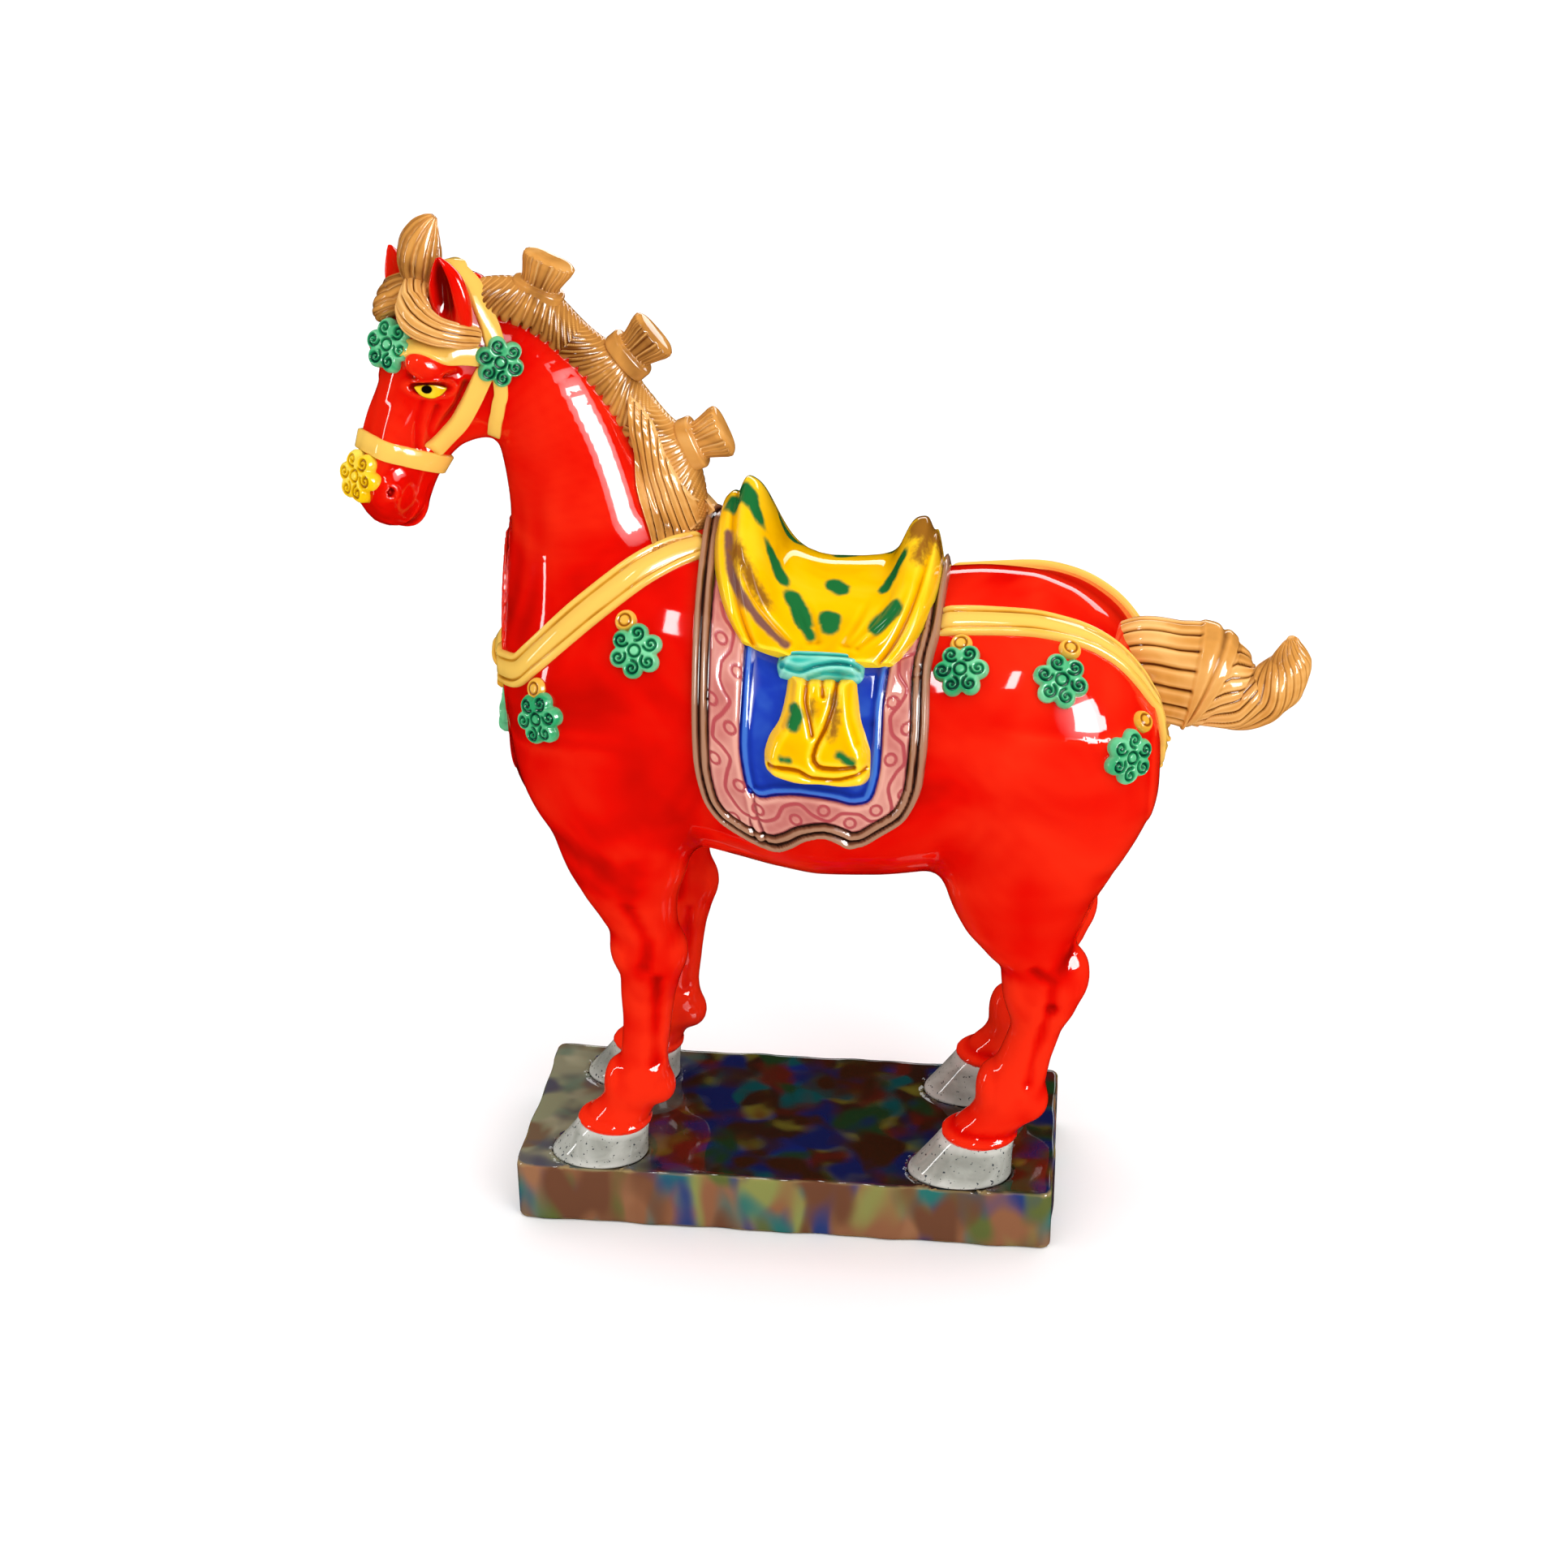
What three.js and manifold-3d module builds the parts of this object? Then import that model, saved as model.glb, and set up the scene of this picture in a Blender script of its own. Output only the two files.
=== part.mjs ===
import * as THREE from "three";
import { mergeVertices } from "three/addons/utils/BufferGeometryUtils.js";
import Module from "manifold-3d";

const wasm = await Module();
wasm.setup();

// Millimetres. The origin is the centre of the plinth's underside; +Z is up and the head is toward -X.
const PLINTH = { length: 144.6, width: 62.6, height: 17.6, corner: 2.2, edge: 0.9, waver: 0.25 };
const SEAT = { depth: 1, clearance: 0.8, gap: 0.3 };

// Barrel, chest to rump: x, top, bottom, half width.
const BARREL = [
  [-71.4, 157, 142, 5],
  [-69.8, 168, 132, 15.5],
  [-65, 177, 119.8, 24.8],
  [-56.5, 184.5, 111.8, 31.8],
  [-45, 190, 109, 36],
  [-31, 193, 108.3, 38.4],
  [-20, 192, 107, 39.2],
  [-11, 187, 105.2, 39.7],
  [0, 180.8, 102.8, 40],
  [11, 178, 101.2, 40],
  [24, 178.2, 101.6, 39.8],
  [38, 179.8, 103.4, 39.3],
  [50, 180.8, 105.6, 38.7],
  [61, 180.2, 108, 38.3],
  [71, 177.2, 110.5, 36.8],
  [80, 171.8, 114.5, 33.3],
  [87, 164.2, 119.5, 27.3],
  [92, 155.6, 126.5, 19],
  [94.8, 147, 135, 7],
];
// A barrel section is narrower above its widest place than below it.
const BARREL_POWER = { top: 1.88, bottom: 2.3 };

// Neck: x, y, z, half across, half fore and aft.
const NECK = [
  [-44, 0, 150, 24, 27],
  [-46.4, 0, 165, 23, 26.4],
  [-48, 0, 180, 20.5, 24.2],
  [-50.6, -0.3, 196, 17.5, 21.2],
  [-54, -0.8, 210, 15, 19],
  [-58.5, -1.6, 223, 13.5, 17],
  [-65, -2.6, 233.5, 12.5, 15],
  [-71, -3.6, 240, 12, 12.5],
  [-76, -4.2, 243.5, 10.5, 10],
];

// Head, in its own frame: along the face from the poll, up out of the brow, and out of the near cheek.
const HEAD = { poll: [-80.8, -4, 249], turn: 42, pitch: 62.8, roll: 1.5 };
// Head sections: along, brow side, jaw side, half width.
const SKULL = [
  [-8, 2, -6, 4],
  [-5, 5.6, -9, 8],
  [0, 8.4, -14, 10.6],
  [7.5, 10.2, -17.6, 12.4],
  [15, 10.8, -22.2, 12.4],
  [23, 10.2, -21.6, 11],
  [30, 9.2, -15.6, 9],
  [37, 8.4, -12.6, 7.8],
  [44, 8, -11.2, 7.7],
  [50, 7.2, -11, 8.1],
  [54.5, 4.8, -10, 7.4],
  [57.6, 1.4, -8, 5],
  [58.8, -1.6, -5.2, 2],
];
const SKULL_POWER = { top: 2.2, bottom: 2.2 };

// Legs: z, x, half fore and aft, y on the near side, half across.
const FORELEG = [
  [140, -44, 20.5, -21, 12],
  [128, -43, 20, -22, 13.5],
  [116, -40.6, 17.6, -22.5, 13.6],
  [107, -39.6, 15.8, -22, 12.3],
  [99, -39, 12.6, -21.5, 10.8],
  [91, -37.2, 9.9, -21, 9],
  [83, -35, 8.5, -20.5, 8],
  [75, -34.8, 8.3, -20.3, 7.9],
  [67, -35.8, 7.3, -20.3, 6.4],
  [58, -36.4, 6.5, -20.3, 5.7],
  [50, -37.3, 6.3, -20.5, 5.7],
  [43, -38.2, 7.8, -20.8, 7],
  [38, -39.6, 8.6, -21, 7.2],
  [34, -41.9, 8.2, -21, 6.7],
  [30, -44.7, 8.4, -21, 7.3],
  [26.5, -46.3, 9, -21, 8.2],
];
const HIND_LEG = [
  [150, 68, 20, -20, 15],
  [136, 68.6, 21.6, -21, 16],
  [122, 65.6, 22.2, -22, 15.8],
  [110, 62.6, 21, -22, 14.4],
  [101, 61.6, 18.2, -21.5, 12.4],
  [93, 62, 15, -21, 10.2],
  [86.5, 63.8, 11.6, -20.8, 8.7],
  [80.5, 67.4, 10.2, -20.5, 8],
  [75, 68.7, 10, -20.5, 7.8],
  [69, 67.9, 8.7, -20.5, 7],
  [62, 66.1, 6.8, -20.5, 6],
  [55, 63.9, 7.1, -20.6, 6],
  [48, 61.3, 8.5, -20.8, 6.8],
  [42, 60.4, 8.8, -21, 7.4],
  [37, 58.6, 9.3, -21, 7.2],
  [33, 54.6, 9, -21, 7],
  [29, 52.2, 9.2, -21, 8.2],
];
// Hooves: height of the coronet, x and half lengths at the coronet and at the sole, half widths.
const FORE_HOOF = { coronet: 27.6, x: [-46.2, -50.6], long: [9.4, 13], wide: [8.4, 9.8], y: -21 };
const HIND_HOOF = { coronet: 29.6, x: [52.2, 47.2], long: [9.5, 13.8], wide: [8.3, 9.7], y: -21 };
// The far legs stand a little further back, and closer to the middle, than the near ones.
const FAR = { fore: 2.5, hind: 1.5, inward: 2 };

// Saddle cloth, on the barrel: angle of the knot, reach at the crest, reach at the knot.
const SADDLE = { knot: 43, front: -17.2, rear: 39.3, knotFront: 0.5, knotRear: 20.9 };
const KNOT = { from: 34.5, to: 44.5, front: 1, rear: 21.6, lift: 5.6 };
const TASSEL = { top: 35.5, hem: 1, middle: 11.7, neck: 8.2, spread: 12.4, lift: 5.75 };
const BLANKET = { front: -19.8, rear: 38.8, hem: -30, lift: 2, border: 3.4, roll: 3.4 };

// How far the cloths reach into the barrel under them.
const UNDER = 16;

// Straps on the barrel: x and angle of the middle line, from the blanket to the chest or the rump.
const COLLAR = [
  [-18, 77],
  [-31, 64],
  [-39, 55.5],
  [-47, 47.5],
  [-54, 40],
  [-60.3, 32.5],
  [-66, 25],
  [-70, 27],
  [-71, 60],
];
const BREECHING = [
  [38, 62],
  [48, 60.5],
  [56, 59.4],
  [67, 57.3],
  [76.4, 55.5],
  [85, 50],
  [91, 38],
  [94, 12],
  [94.8, -50],
];
const STRAP = { half: 4.4, lift: 1.5 };

// Rosettes on the barrel: x and angle of each on one side; another faces forward from the chest.
const BARREL_ROSETTES = [
  [-33, 31.7],
  [-57.3, 6.3],
  [45.7, 40.3],
  [70.2, 36.1],
  [87.1, 7.9],
];
const CHEST_ROSETTE = [-71.6, 0, 144.5];
// Rosettes of the bridle, on the head: along, angle, share of the full radius, lift.
const HEAD_ROSETTES = [
  [16, 90, 1, 2],
  [49, 90, 0.86, 2.8],
  [12, -22, 1, 2],
  [12, 202, 1, 2],
];
const ROSETTE = { radius: 6.3, lift: 2, lobes: 6 };

// Mane along the crest: x, y, z, half across, half depth.
const MANE = [
  [-76, -4.2, 246.8, 4.5, 4.5],
  [-70, -3.4, 248, 6, 5],
  [-62, -2.4, 246.6, 6.5, 5.4],
  [-57, -1.8, 243.6, 6.5, 5.4],
  [-52, -1.4, 238.6, 6.5, 5.4],
  [-46, -1, 232.2, 6.5, 5.6],
  [-40.5, -0.6, 225, 6.7, 5.8],
  [-34.8, -0.3, 216.4, 7.3, 6.4],
  [-30.4, 0, 208.4, 8, 7.2],
  [-27.8, 0, 200, 8.6, 7.8],
  [-27, 0, 188, 9, 8],
];
// Tied tufts of the mane: the middle of the band, and the lean of the tuft from upright.
const TUFTS = [
  { x: -59.4, y: -2.2, z: 250.6, lean: 24 },
  { x: -38, y: -0.6, z: 234.8, lean: 50 },
  { x: -23, y: 0, z: 212.6, lean: 66 },
];
const TUFT = { stem: 4.6, band: 6.3, thick: 4.2, end: 6.3, length: 8.3 };

// Tail: x, y, z, half across, half depth, turning as it goes.
const TAIL = [
  [84, 0, 156.4, 9, 11.6],
  [90, 0, 157, 10, 13],
  [97, 0, 156, 10.5, 13.2],
  [103, 0, 155.2, 11, 13.8],
  [108.5, 0, 152.8, 10.2, 11.6],
  [114, 0, 150, 9.2, 8.6],
  [119, 0, 150.6, 8.2, 7.1],
  [123.8, 0, 154.8, 7, 6.2],
  [126, 0, 160.4, 5, 4.9],
  [125.8, 0, 165.2, 2, 2],
];

const radians = THREE.MathUtils.degToRad;

// Values between rows of numbers, on a smooth curve that passes through each row and never overshoots.
function curve(keys, rows) {
  const last = rows.length - 1;
  const secant = (i, k) => (rows[i + 1][k] - rows[i][k]) / (keys[i + 1] - keys[i]);
  const slope = (i, k) => {
    if (i === 0) return secant(0, k);
    if (i === last) return secant(last - 1, k);
    const before = secant(i - 1, k);
    const after = secant(i, k);
    return before * after <= 0 ? 0 : (2 * before * after) / (before + after);
  };
  return (at) => {
    let i = 0;
    while (i < last - 1 && keys[i + 1] < at) i += 1;
    const gap = keys[i + 1] - keys[i];
    const t = (at - keys[i]) / gap;
    const s = 1 - t;
    return rows[i].map(
      (value, k) =>
        value * s * s * (1 + 2 * t) +
        rows[i + 1][k] * t * t * (3 - 2 * t) +
        gap * t * s * (slope(i, k) * s - slope(i + 1, k) * t),
    );
  };
}

function resample(rows, count) {
  const along = [0];
  rows.slice(1).forEach((row, i) => {
    along.push(along[i] + Math.hypot(row[0] - rows[i][0], row[1] - rows[i][1], row[2] - rows[i][2]));
  });
  const at = curve(along, rows);
  return Array.from({ length: count }, (_, n) => at((along.at(-1) * n) / (count - 1)));
}

// One point of a rounded section: a power of 2 is an ellipse, more is squarer.
function oval(angle, across, deep, power) {
  const c = Math.cos(angle);
  const s = Math.sin(angle);
  const bend = (value) => Math.sign(value) * Math.abs(value) ** (2 / power);
  return [across * bend(c), deep * bend(s)];
}

// A closed solid from rings of points; each end ring is closed to its middle.
function skin(rings) {
  const sides = rings[0].length;
  const middle = (ring) => ring.reduce((sum, p) => sum.add(p), new THREE.Vector3()).divideScalar(sides);
  const points = [...rings.flat(), middle(rings[0]), middle(rings.at(-1))];
  const faces = [];
  for (let i = 0; i < rings.length - 1; i += 1) {
    for (let j = 0; j < sides; j += 1) {
      const a = i * sides + j;
      const b = i * sides + ((j + 1) % sides);
      faces.push(a, b, b + sides, a, b + sides, a + sides);
    }
  }
  const start = rings.length * sides;
  for (let j = 0; j < sides; j += 1) {
    const next = (j + 1) % sides;
    faces.push(start, next, j, start + 1, start - sides + j, start - sides + next);
  }
  return solid(points, faces);
}

function solid(points, faces) {
  const volume = faces.reduce((sum, _, i) => {
    if (i % 3) return sum;
    const [a, b, c] = [points[faces[i]], points[faces[i + 1]], points[faces[i + 2]]];
    return sum + a.dot(new THREE.Vector3().crossVectors(b, c));
  }, 0);
  const inward = faces.map((_, i) => faces[i - (i % 3) + [0, 2, 1][i % 3]]);
  const numbers = points.flatMap((p) => p.toArray());
  const geometry = new THREE.BufferGeometry();
  geometry.setAttribute("position", new THREE.Float32BufferAttribute(numbers, 3));
  geometry.setIndex(volume < 0 ? inward : faces);
  return solidOf(geometry);
}

function solidOf(geometry) {
  geometry.deleteAttribute("normal");
  geometry.deleteAttribute("uv");
  const merged = mergeVertices(geometry, 1e-4);
  return new wasm.Manifold(
    new wasm.Mesh({
      numProp: 3,
      vertProperties: merged.attributes.position.array,
      triVerts: new Uint32Array(merged.index.array),
    }),
  );
}

const joined = (solids) => solids.reduce((sum, next) => sum.add(next));

const nearward = () => new THREE.Vector3(0, -1, 0);

// A limb swept along its rows; across is the sideways direction at each part of the way.
function limb(rows, { count, sides, power = 2, across = nearward, shape = () => 1 }) {
  const stations = resample(rows, count);
  const centres = stations.map(([x, y, z]) => new THREE.Vector3(x, y, z));
  return skin(
    stations.map((row, i) => {
      const ahead = centres[Math.min(i + 1, count - 1)].clone().sub(centres[Math.max(i - 1, 0)]).normalize();
      const side = across(i / (count - 1));
      side.addScaledVector(ahead, -side.dot(ahead)).normalize();
      const deep = new THREE.Vector3().crossVectors(ahead, side);
      return Array.from({ length: sides }, (_, j) => {
        const angle = (2 * Math.PI * j) / sides;
        const [a, b] = oval(angle, row[3], row[4], power);
        const grow = shape(angle, i / (count - 1), i);
        return centres[i].clone().addScaledVector(side, a * grow).addScaledVector(deep, b * grow);
      });
    }),
  );
}

// A form is a row of sections: a place on it is a distance along and an angle round in degrees,
// 0 facing out of the near side and 90 facing up.
function formOf(rows, power, place) {
  const at = curve(rows.map((row) => row[0]), rows);
  const point = (u, degrees, lift = 0) => {
    const [, top, bottom, half] = at(u);
    const c = Math.cos(radians(degrees));
    const s = Math.sin(radians(degrees));
    const n = s > 0 ? power.top : power.bottom;
    const reach = (Math.abs(c / half) ** n + Math.abs((2 * s) / (top - bottom)) ** n) ** (-1 / n) + lift;
    return place(u, (top + bottom) / 2 + reach * s, reach * c);
  };
  const normal = (u, degrees) => {
    const alongStep = point(u + 0.2, degrees).sub(point(u - 0.2, degrees));
    const roundStep = point(u, degrees + 0.5).sub(point(u, degrees - 0.5));
    const across = point(u, degrees).sub(point(u, degrees + 180));
    const out = new THREE.Vector3().crossVectors(roundStep, alongStep).normalize();
    return out.multiplyScalar(Math.sign(out.dot(across)));
  };
  const on = (u, degrees, lift) => point(u, degrees).addScaledVector(normal(u, degrees), lift);
  return { point, normal, on };
}

const barrel = formOf(BARREL, BARREL_POWER, (u, v, w) => new THREE.Vector3(u, -w, v));

function headFrame() {
  const turn = radians(HEAD.turn);
  const pitch = radians(HEAD.pitch);
  const ahead = new THREE.Vector3(-Math.cos(turn), -Math.sin(turn), 0);
  const up = new THREE.Vector3(0, 0, 1);
  const along = ahead.clone().multiplyScalar(Math.cos(pitch)).addScaledVector(up, -Math.sin(pitch));
  const brow = ahead.clone().multiplyScalar(Math.sin(pitch)).addScaledVector(up, Math.cos(pitch));
  const cheek = new THREE.Vector3(Math.sin(turn), -Math.cos(turn), 0);
  brow.applyAxisAngle(along, radians(-HEAD.roll));
  cheek.applyAxisAngle(along, radians(-HEAD.roll));
  const poll = new THREE.Vector3(...HEAD.poll);
  return (u, v, w) =>
    poll.clone().addScaledVector(along, u).addScaledVector(brow, v).addScaledVector(cheek, w);
}

const onHead = headFrame();
const skull = formOf(SKULL, SKULL_POWER, onHead);

function body(form, rows, count, sides) {
  const section = (u) => Array.from({ length: sides }, (_, j) => form.point(u, (360 * j) / sides));
  return skin(resample(rows, count).map(([u]) => section(u)));
}

// A raised band whose middle line is given as places on a form.
function band(form, path, { half, lift, count }) {
  const middle = resample(path.map(([u, degrees]) => [u, degrees, 0]), count);
  const centres = middle.map(([u, degrees]) => form.point(u, degrees));
  const profile = [[-1, -2], [-0.9, 1], [0.9, 1], [1, -2]];
  return skin(
    middle.map(([u, degrees], i) => {
      const normal = form.normal(u, degrees);
      const ahead = centres[Math.min(i + 1, count - 1)].clone().sub(centres[Math.max(i - 1, 0)]).normalize();
      const side = new THREE.Vector3().crossVectors(ahead, normal).normalize();
      return profile.map(([s, h]) =>
        centres[i].clone().addScaledVector(side, s * half).addScaledVector(normal, h * lift),
      );
    }),
  );
}

// The same path on the far side too, joined at the top (90) or at the bottom (-90).
const mirroredPath = (path, middle) => {
  const other = path.map(([u, degrees]) => [u, 2 * middle - degrees]);
  return [...path, ...other.reverse()];
};

// A boss with scalloped edges.
function rosette(centre, normal, up, { radius, lift, lobes }) {
  const side = new THREE.Vector3().crossVectors(up, normal).normalize();
  const rise = new THREE.Vector3().crossVectors(normal, side);
  const steps = lobes * 2;
  const ring = (reach, height, scallop) =>
    Array.from({ length: steps }, (_, j) => {
      const angle = (2 * Math.PI * j) / steps;
      const r = radius * reach * (1 + scallop * Math.cos(lobes * angle));
      return centre
        .clone()
        .addScaledVector(side, r * Math.sin(angle))
        .addScaledVector(rise, r * Math.cos(angle))
        .addScaledVector(normal, height);
    });
  return skin([ring(0.95, -2, 0.12), ring(0.92, lift, 0.12)]);
}

function leg(rows, side, shift) {
  const placed = rows.map(([z, x, long, y, wide]) => [x + shift.x, side * (y + shift.y), z, long, wide]);
  return skin(
    resample(placed, 13).map(([x, y, z, long, wide]) =>
      Array.from({ length: 10 }, (_, j) => {
        const [a, b] = oval((Math.PI * j) / 5, long, wide, 2.15);
        return new THREE.Vector3(x + a, y + b, z);
      }),
    ),
  );
}

// Rings of a hoof from the coronet down to a height; grow widens it all round.
function hoof(shape, side, shift, top, sole, grow = 0) {
  const rings = 2;
  return skin(
    Array.from({ length: rings }, (_, i) => {
      const z = top + ((sole - top) * i) / (rings - 1);
      const t = (shape.coronet - z) / (shape.coronet - PLINTH.height);
      const mix = (pair) => pair[0] + (pair[1] - pair[0]) * t;
      return Array.from({ length: 12 }, (_, j) => {
        const [a, b] = oval((Math.PI * j) / 6, mix(shape.long) + grow, mix(shape.wide) + grow, 2.1);
        return new THREE.Vector3(mix(shape.x) + shift.x + a, side * (shape.y + shift.y) + b, z);
      });
    }),
  );
}

const STANCES = [
  { rows: FORELEG, hoof: FORE_HOOF, side: 1, shift: { x: 0, y: 0 } },
  { rows: FORELEG, hoof: FORE_HOOF, side: -1, shift: { x: FAR.fore, y: FAR.inward } },
  { rows: HIND_LEG, hoof: HIND_HOOF, side: 1, shift: { x: 0, y: 0 } },
  { rows: HIND_LEG, hoof: HIND_HOOF, side: -1, shift: { x: FAR.hind, y: FAR.inward } },
];

function plinth() {
  const { length, width, height, corner, edge, waver } = PLINTH;
  const ring = (z, inset) => {
    const points = [];
    const perSide = 4;
    const [a, b] = [length / 2 - inset, width / 2 - inset];
    for (let quarter = 0; quarter < 4; quarter += 1) {
      const sx = quarter === 0 || quarter === 3 ? 1 : -1;
      const sy = quarter < 2 ? 1 : -1;
      for (let k = 0; k <= 2; k += 1) {
        const angle = radians(90 * quarter + 45 * k);
        const x = sx * (a - corner) + corner * Math.cos(angle);
        const y = sy * (b - corner) + corner * Math.sin(angle);
        points.push([x, y]);
      }
      const [x0, y0] = points.at(-1);
      const nx = quarter === 0 ? -(a - corner) : quarter === 1 ? -a : quarter === 2 ? a - corner : a;
      const ny = quarter === 0 ? b : quarter === 1 ? -(b - corner) : quarter === 2 ? -b : b - corner;
      for (let k = 1; k < perSide; k += 1) {
        points.push([x0 + ((nx - x0) * k) / perSide, y0 + ((ny - y0) * k) / perSide]);
      }
    }
    return points.map(([x, y]) => {
      const wave = waver * (Math.sin(x * 0.21 + y * 0.13) + 0.6 * Math.sin(x * 0.47 - y * 0.38 + 1));
      return new THREE.Vector3(x * (1 + wave / (length / 2)), y * (1 + wave / (width / 2)), z);
    });
  };
  const slab = skin([ring(0, 0), ring(height - edge, 0), ring(height, edge)]);
  const seats = STANCES.map((s) =>
    hoof(s.hoof, s.side, s.shift, height + 2, height - SEAT.depth, SEAT.clearance),
  );
  return slab.subtract(joined(seats));
}

const bump = (at, middle, spread) => Math.exp(-(((at - middle) / spread) ** 2));

// Height of the saddle cloth over the barrel: s runs from its front rim to its rear one,
// u from the knot to the crest.
function saddleLift(s, u) {
  const edge = Math.min(1, 0.3 + s / 0.03, 0.3 + (1 - s) / 0.03);
  const pommel = 15 * u ** 1.5 * bump(s, 0.155, 0.09) + 2.2 * (1 - u) * bump(s, 0.27, 0.09);
  const cantle = 12 * u ** 1.5 * bump(s, 0.915, 0.085) + 2 * (1 - u) * bump(s, 0.76, 0.09);
  const rim = 2.6 * u ** 2 * bump(s, 0.04, 0.04);
  const groove = -1.4 * bump(s, 0.1, 0.02) - 1.6 * bump(s, 0.965 - 0.07 * (1 - u), 0.018);
  const folds = 0.7 * (1 - u) * Math.cos(2 * Math.PI * 6 * s);
  return edge * (3.6 + pommel + cantle + rim + groove + folds);
}

function saddle() {
  const rings = 13;
  const places = [0, 0.03, 0.1, 0.14, 0.19, 0.28, 0.42, 0.58, 0.74, 0.84, 0.9, 0.95, 1];
  return skin(
    Array.from({ length: rings }, (_, i) => {
      const degrees = SADDLE.knot + ((180 - 2 * SADDLE.knot) * i) / (rings - 1);
      const u = 1 - Math.abs(degrees - 90) / (90 - SADDLE.knot);
      const spread = 1 - (1 - u ** 0.6) ** 2;
      const front = SADDLE.knotFront + (SADDLE.front - SADDLE.knotFront) * spread;
      const rear = SADDLE.knotRear + (SADDLE.rear - SADDLE.knotRear) * spread;
      const top = places.map((s) => barrel.point(front + (rear - front) * s, degrees, saddleLift(s, u)));
      return [...top, ...[rear, front].map((x) => barrel.point(x, degrees, -UNDER))];
    }),
  );
}

function blanket() {
  const { front, rear, hem, lift, border, roll } = BLANKET;
  const rings = 17;
  return skin(
    Array.from({ length: rings }, (_, i) => {
      const t = (2 * i) / (rings - 1) - 1;
      const degrees = 90 + (90 - hem) * Math.sign(t) * (1 - (1 - Math.abs(t)) ** 1.3);
      const below = Math.max(0, Math.abs(degrees - 90) - 90);
      const a = front + 6 * (below / 28) ** 4;
      const b = rear - 19 * (below / 23) ** 2;
      const covered = Math.abs(degrees - 90) < 42;
      const inner = covered ? lift * 0.6 : below > 24 ? border : lift;
      const w = Math.min(roll, (b - a) / 3);
      const marks = [[a, border], [a + w, border], [a + w * 1.25, inner]];
      const back = marks.map(([x, h]) => [a + b - x, h]).reverse();
      const middle = [0.3, 0.5, 0.75].map((share) => [a + (b - a) * share, inner]);
      const under = [[b, -UNDER], [a, -UNDER]];
      return [...marks, ...middle, ...back, ...under].map(([x, h]) => barrel.point(x, degrees, h));
    }),
  );
}

// A patch on the barrel between two angles; shape gives its front and rear edges and its height.
function patch(form, from, to, count, edges, height, flip) {
  return skin(
    Array.from({ length: count }, (_, i) => {
      const t = i / (count - 1);
      const degrees = from + (to - from) * t;
      const [front, rear] = edges(t);
      const columns = 7;
      const top = Array.from({ length: columns + 1 }, (_, j) => {
        const s = j / columns;
        return form.on(front + (rear - front) * s, degrees, height(t, s));
      });
      const ring = [...top, form.on(rear, degrees, -1), form.on(front, degrees, -1)];
      return ring.map((p) => new THREE.Vector3(p.x, flip * p.y, p.z));
    }),
  );
}

function knot(flip) {
  const { from, to, front, rear, lift } = KNOT;
  return patch(
    barrel, from, to, 4,
    (t) => [front + 1.2 * (1 - Math.sin(Math.PI * t)), rear - 1.2 * (1 - Math.sin(Math.PI * t))],
    (t, s) => {
      const roll = Math.sin(Math.PI * (0.08 + 0.84 * t)) ** 0.5;
      const side = Math.sin(Math.PI * (0.04 + 0.92 * s)) ** 0.35;
      return lift * roll * side * (1 - 0.08 * Math.cos(6 * Math.PI * t + 1.5 * s));
    },
    flip,
  );
}

function tassel(flip) {
  const { top, hem, middle, neck, spread, lift } = TASSEL;
  return patch(
    barrel, top, hem, 6,
    (t) => {
      const flare = (spread - neck) * Math.min(1, t / 0.75) ** 1.4;
      const half = neck + flare - 1.6 * Math.max(0, (t - 0.86) / 0.14) ** 2;
      return [middle - half, middle + half];
    },
    (t, s) => {
      const side = Math.sin(Math.PI * (0.05 + 0.9 * s)) ** 0.4;
      const end = Math.min(1, (1.04 - t) / 0.08) ** 0.5;
      const folds = 0.5 * Math.cos(2 * Math.PI * 2.5 * (s - 0.1 * t));
      return side * end * (lift - 0.4 + folds * (0.5 + 0.5 * t));
    },
    flip,
  );
}

function ear(flip) {
  const rows = [
    [7, 1.5, 7.5, 3.4, 2.6],
    [3, 4, 8.2, 4.4, 2.9],
    [-0.5, 6.2, 8.4, 4.2, 2.6],
    [-4, 8.2, 8.4, 2.9, 1.9],
    [-7.2, 9.9, 8, 0.7, 0.7],
  ].map(([u, v, w, wide, thick]) => {
    const p = onHead(u, v + (flip < 0 ? 1.5 : 0), flip * (flip < 0 ? w + 3.6 : w));
    return [p.x, p.y, p.z, wide, thick];
  });
  const side = onHead(-0.3, -0.6, flip).sub(onHead(0, 0, 0));
  return limb(rows, {
    count: 5,
    sides: 8,
    across: () => side.clone(),
    shape: (angle, t) => (Math.abs(angle - 0.5 * Math.PI) < 0.7 && t > 0.2 && t < 0.9 ? 0.25 : 1),
  });
}

function tuft({ x, y, z, lean }) {
  const out = new THREE.Vector3(Math.sin(radians(lean)), 0, Math.cos(radians(lean)));
  const rows = [
    [-7, 7.4, TUFT.thick + 1],
    [-1.9, 5.6, TUFT.thick],
    [-1.6, TUFT.band, TUFT.thick + 1],
    [1.6, TUFT.band, TUFT.thick + 1],
    [1.9, TUFT.stem, TUFT.thick - 0.6],
    [TUFT.length, TUFT.end, TUFT.thick],
  ];
  const fore = new THREE.Vector3(out.z, 0, -out.x);
  return skin(
    rows.map(([along, wide, thick]) =>
      Array.from({ length: 10 }, (_, j) => {
        const [a, b] = oval((Math.PI * j) / 5, wide, thick, 2.6);
        return new THREE.Vector3(x, y + b, z).addScaledVector(out, along).addScaledVector(fore, a);
      }),
    ),
  );
}

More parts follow.
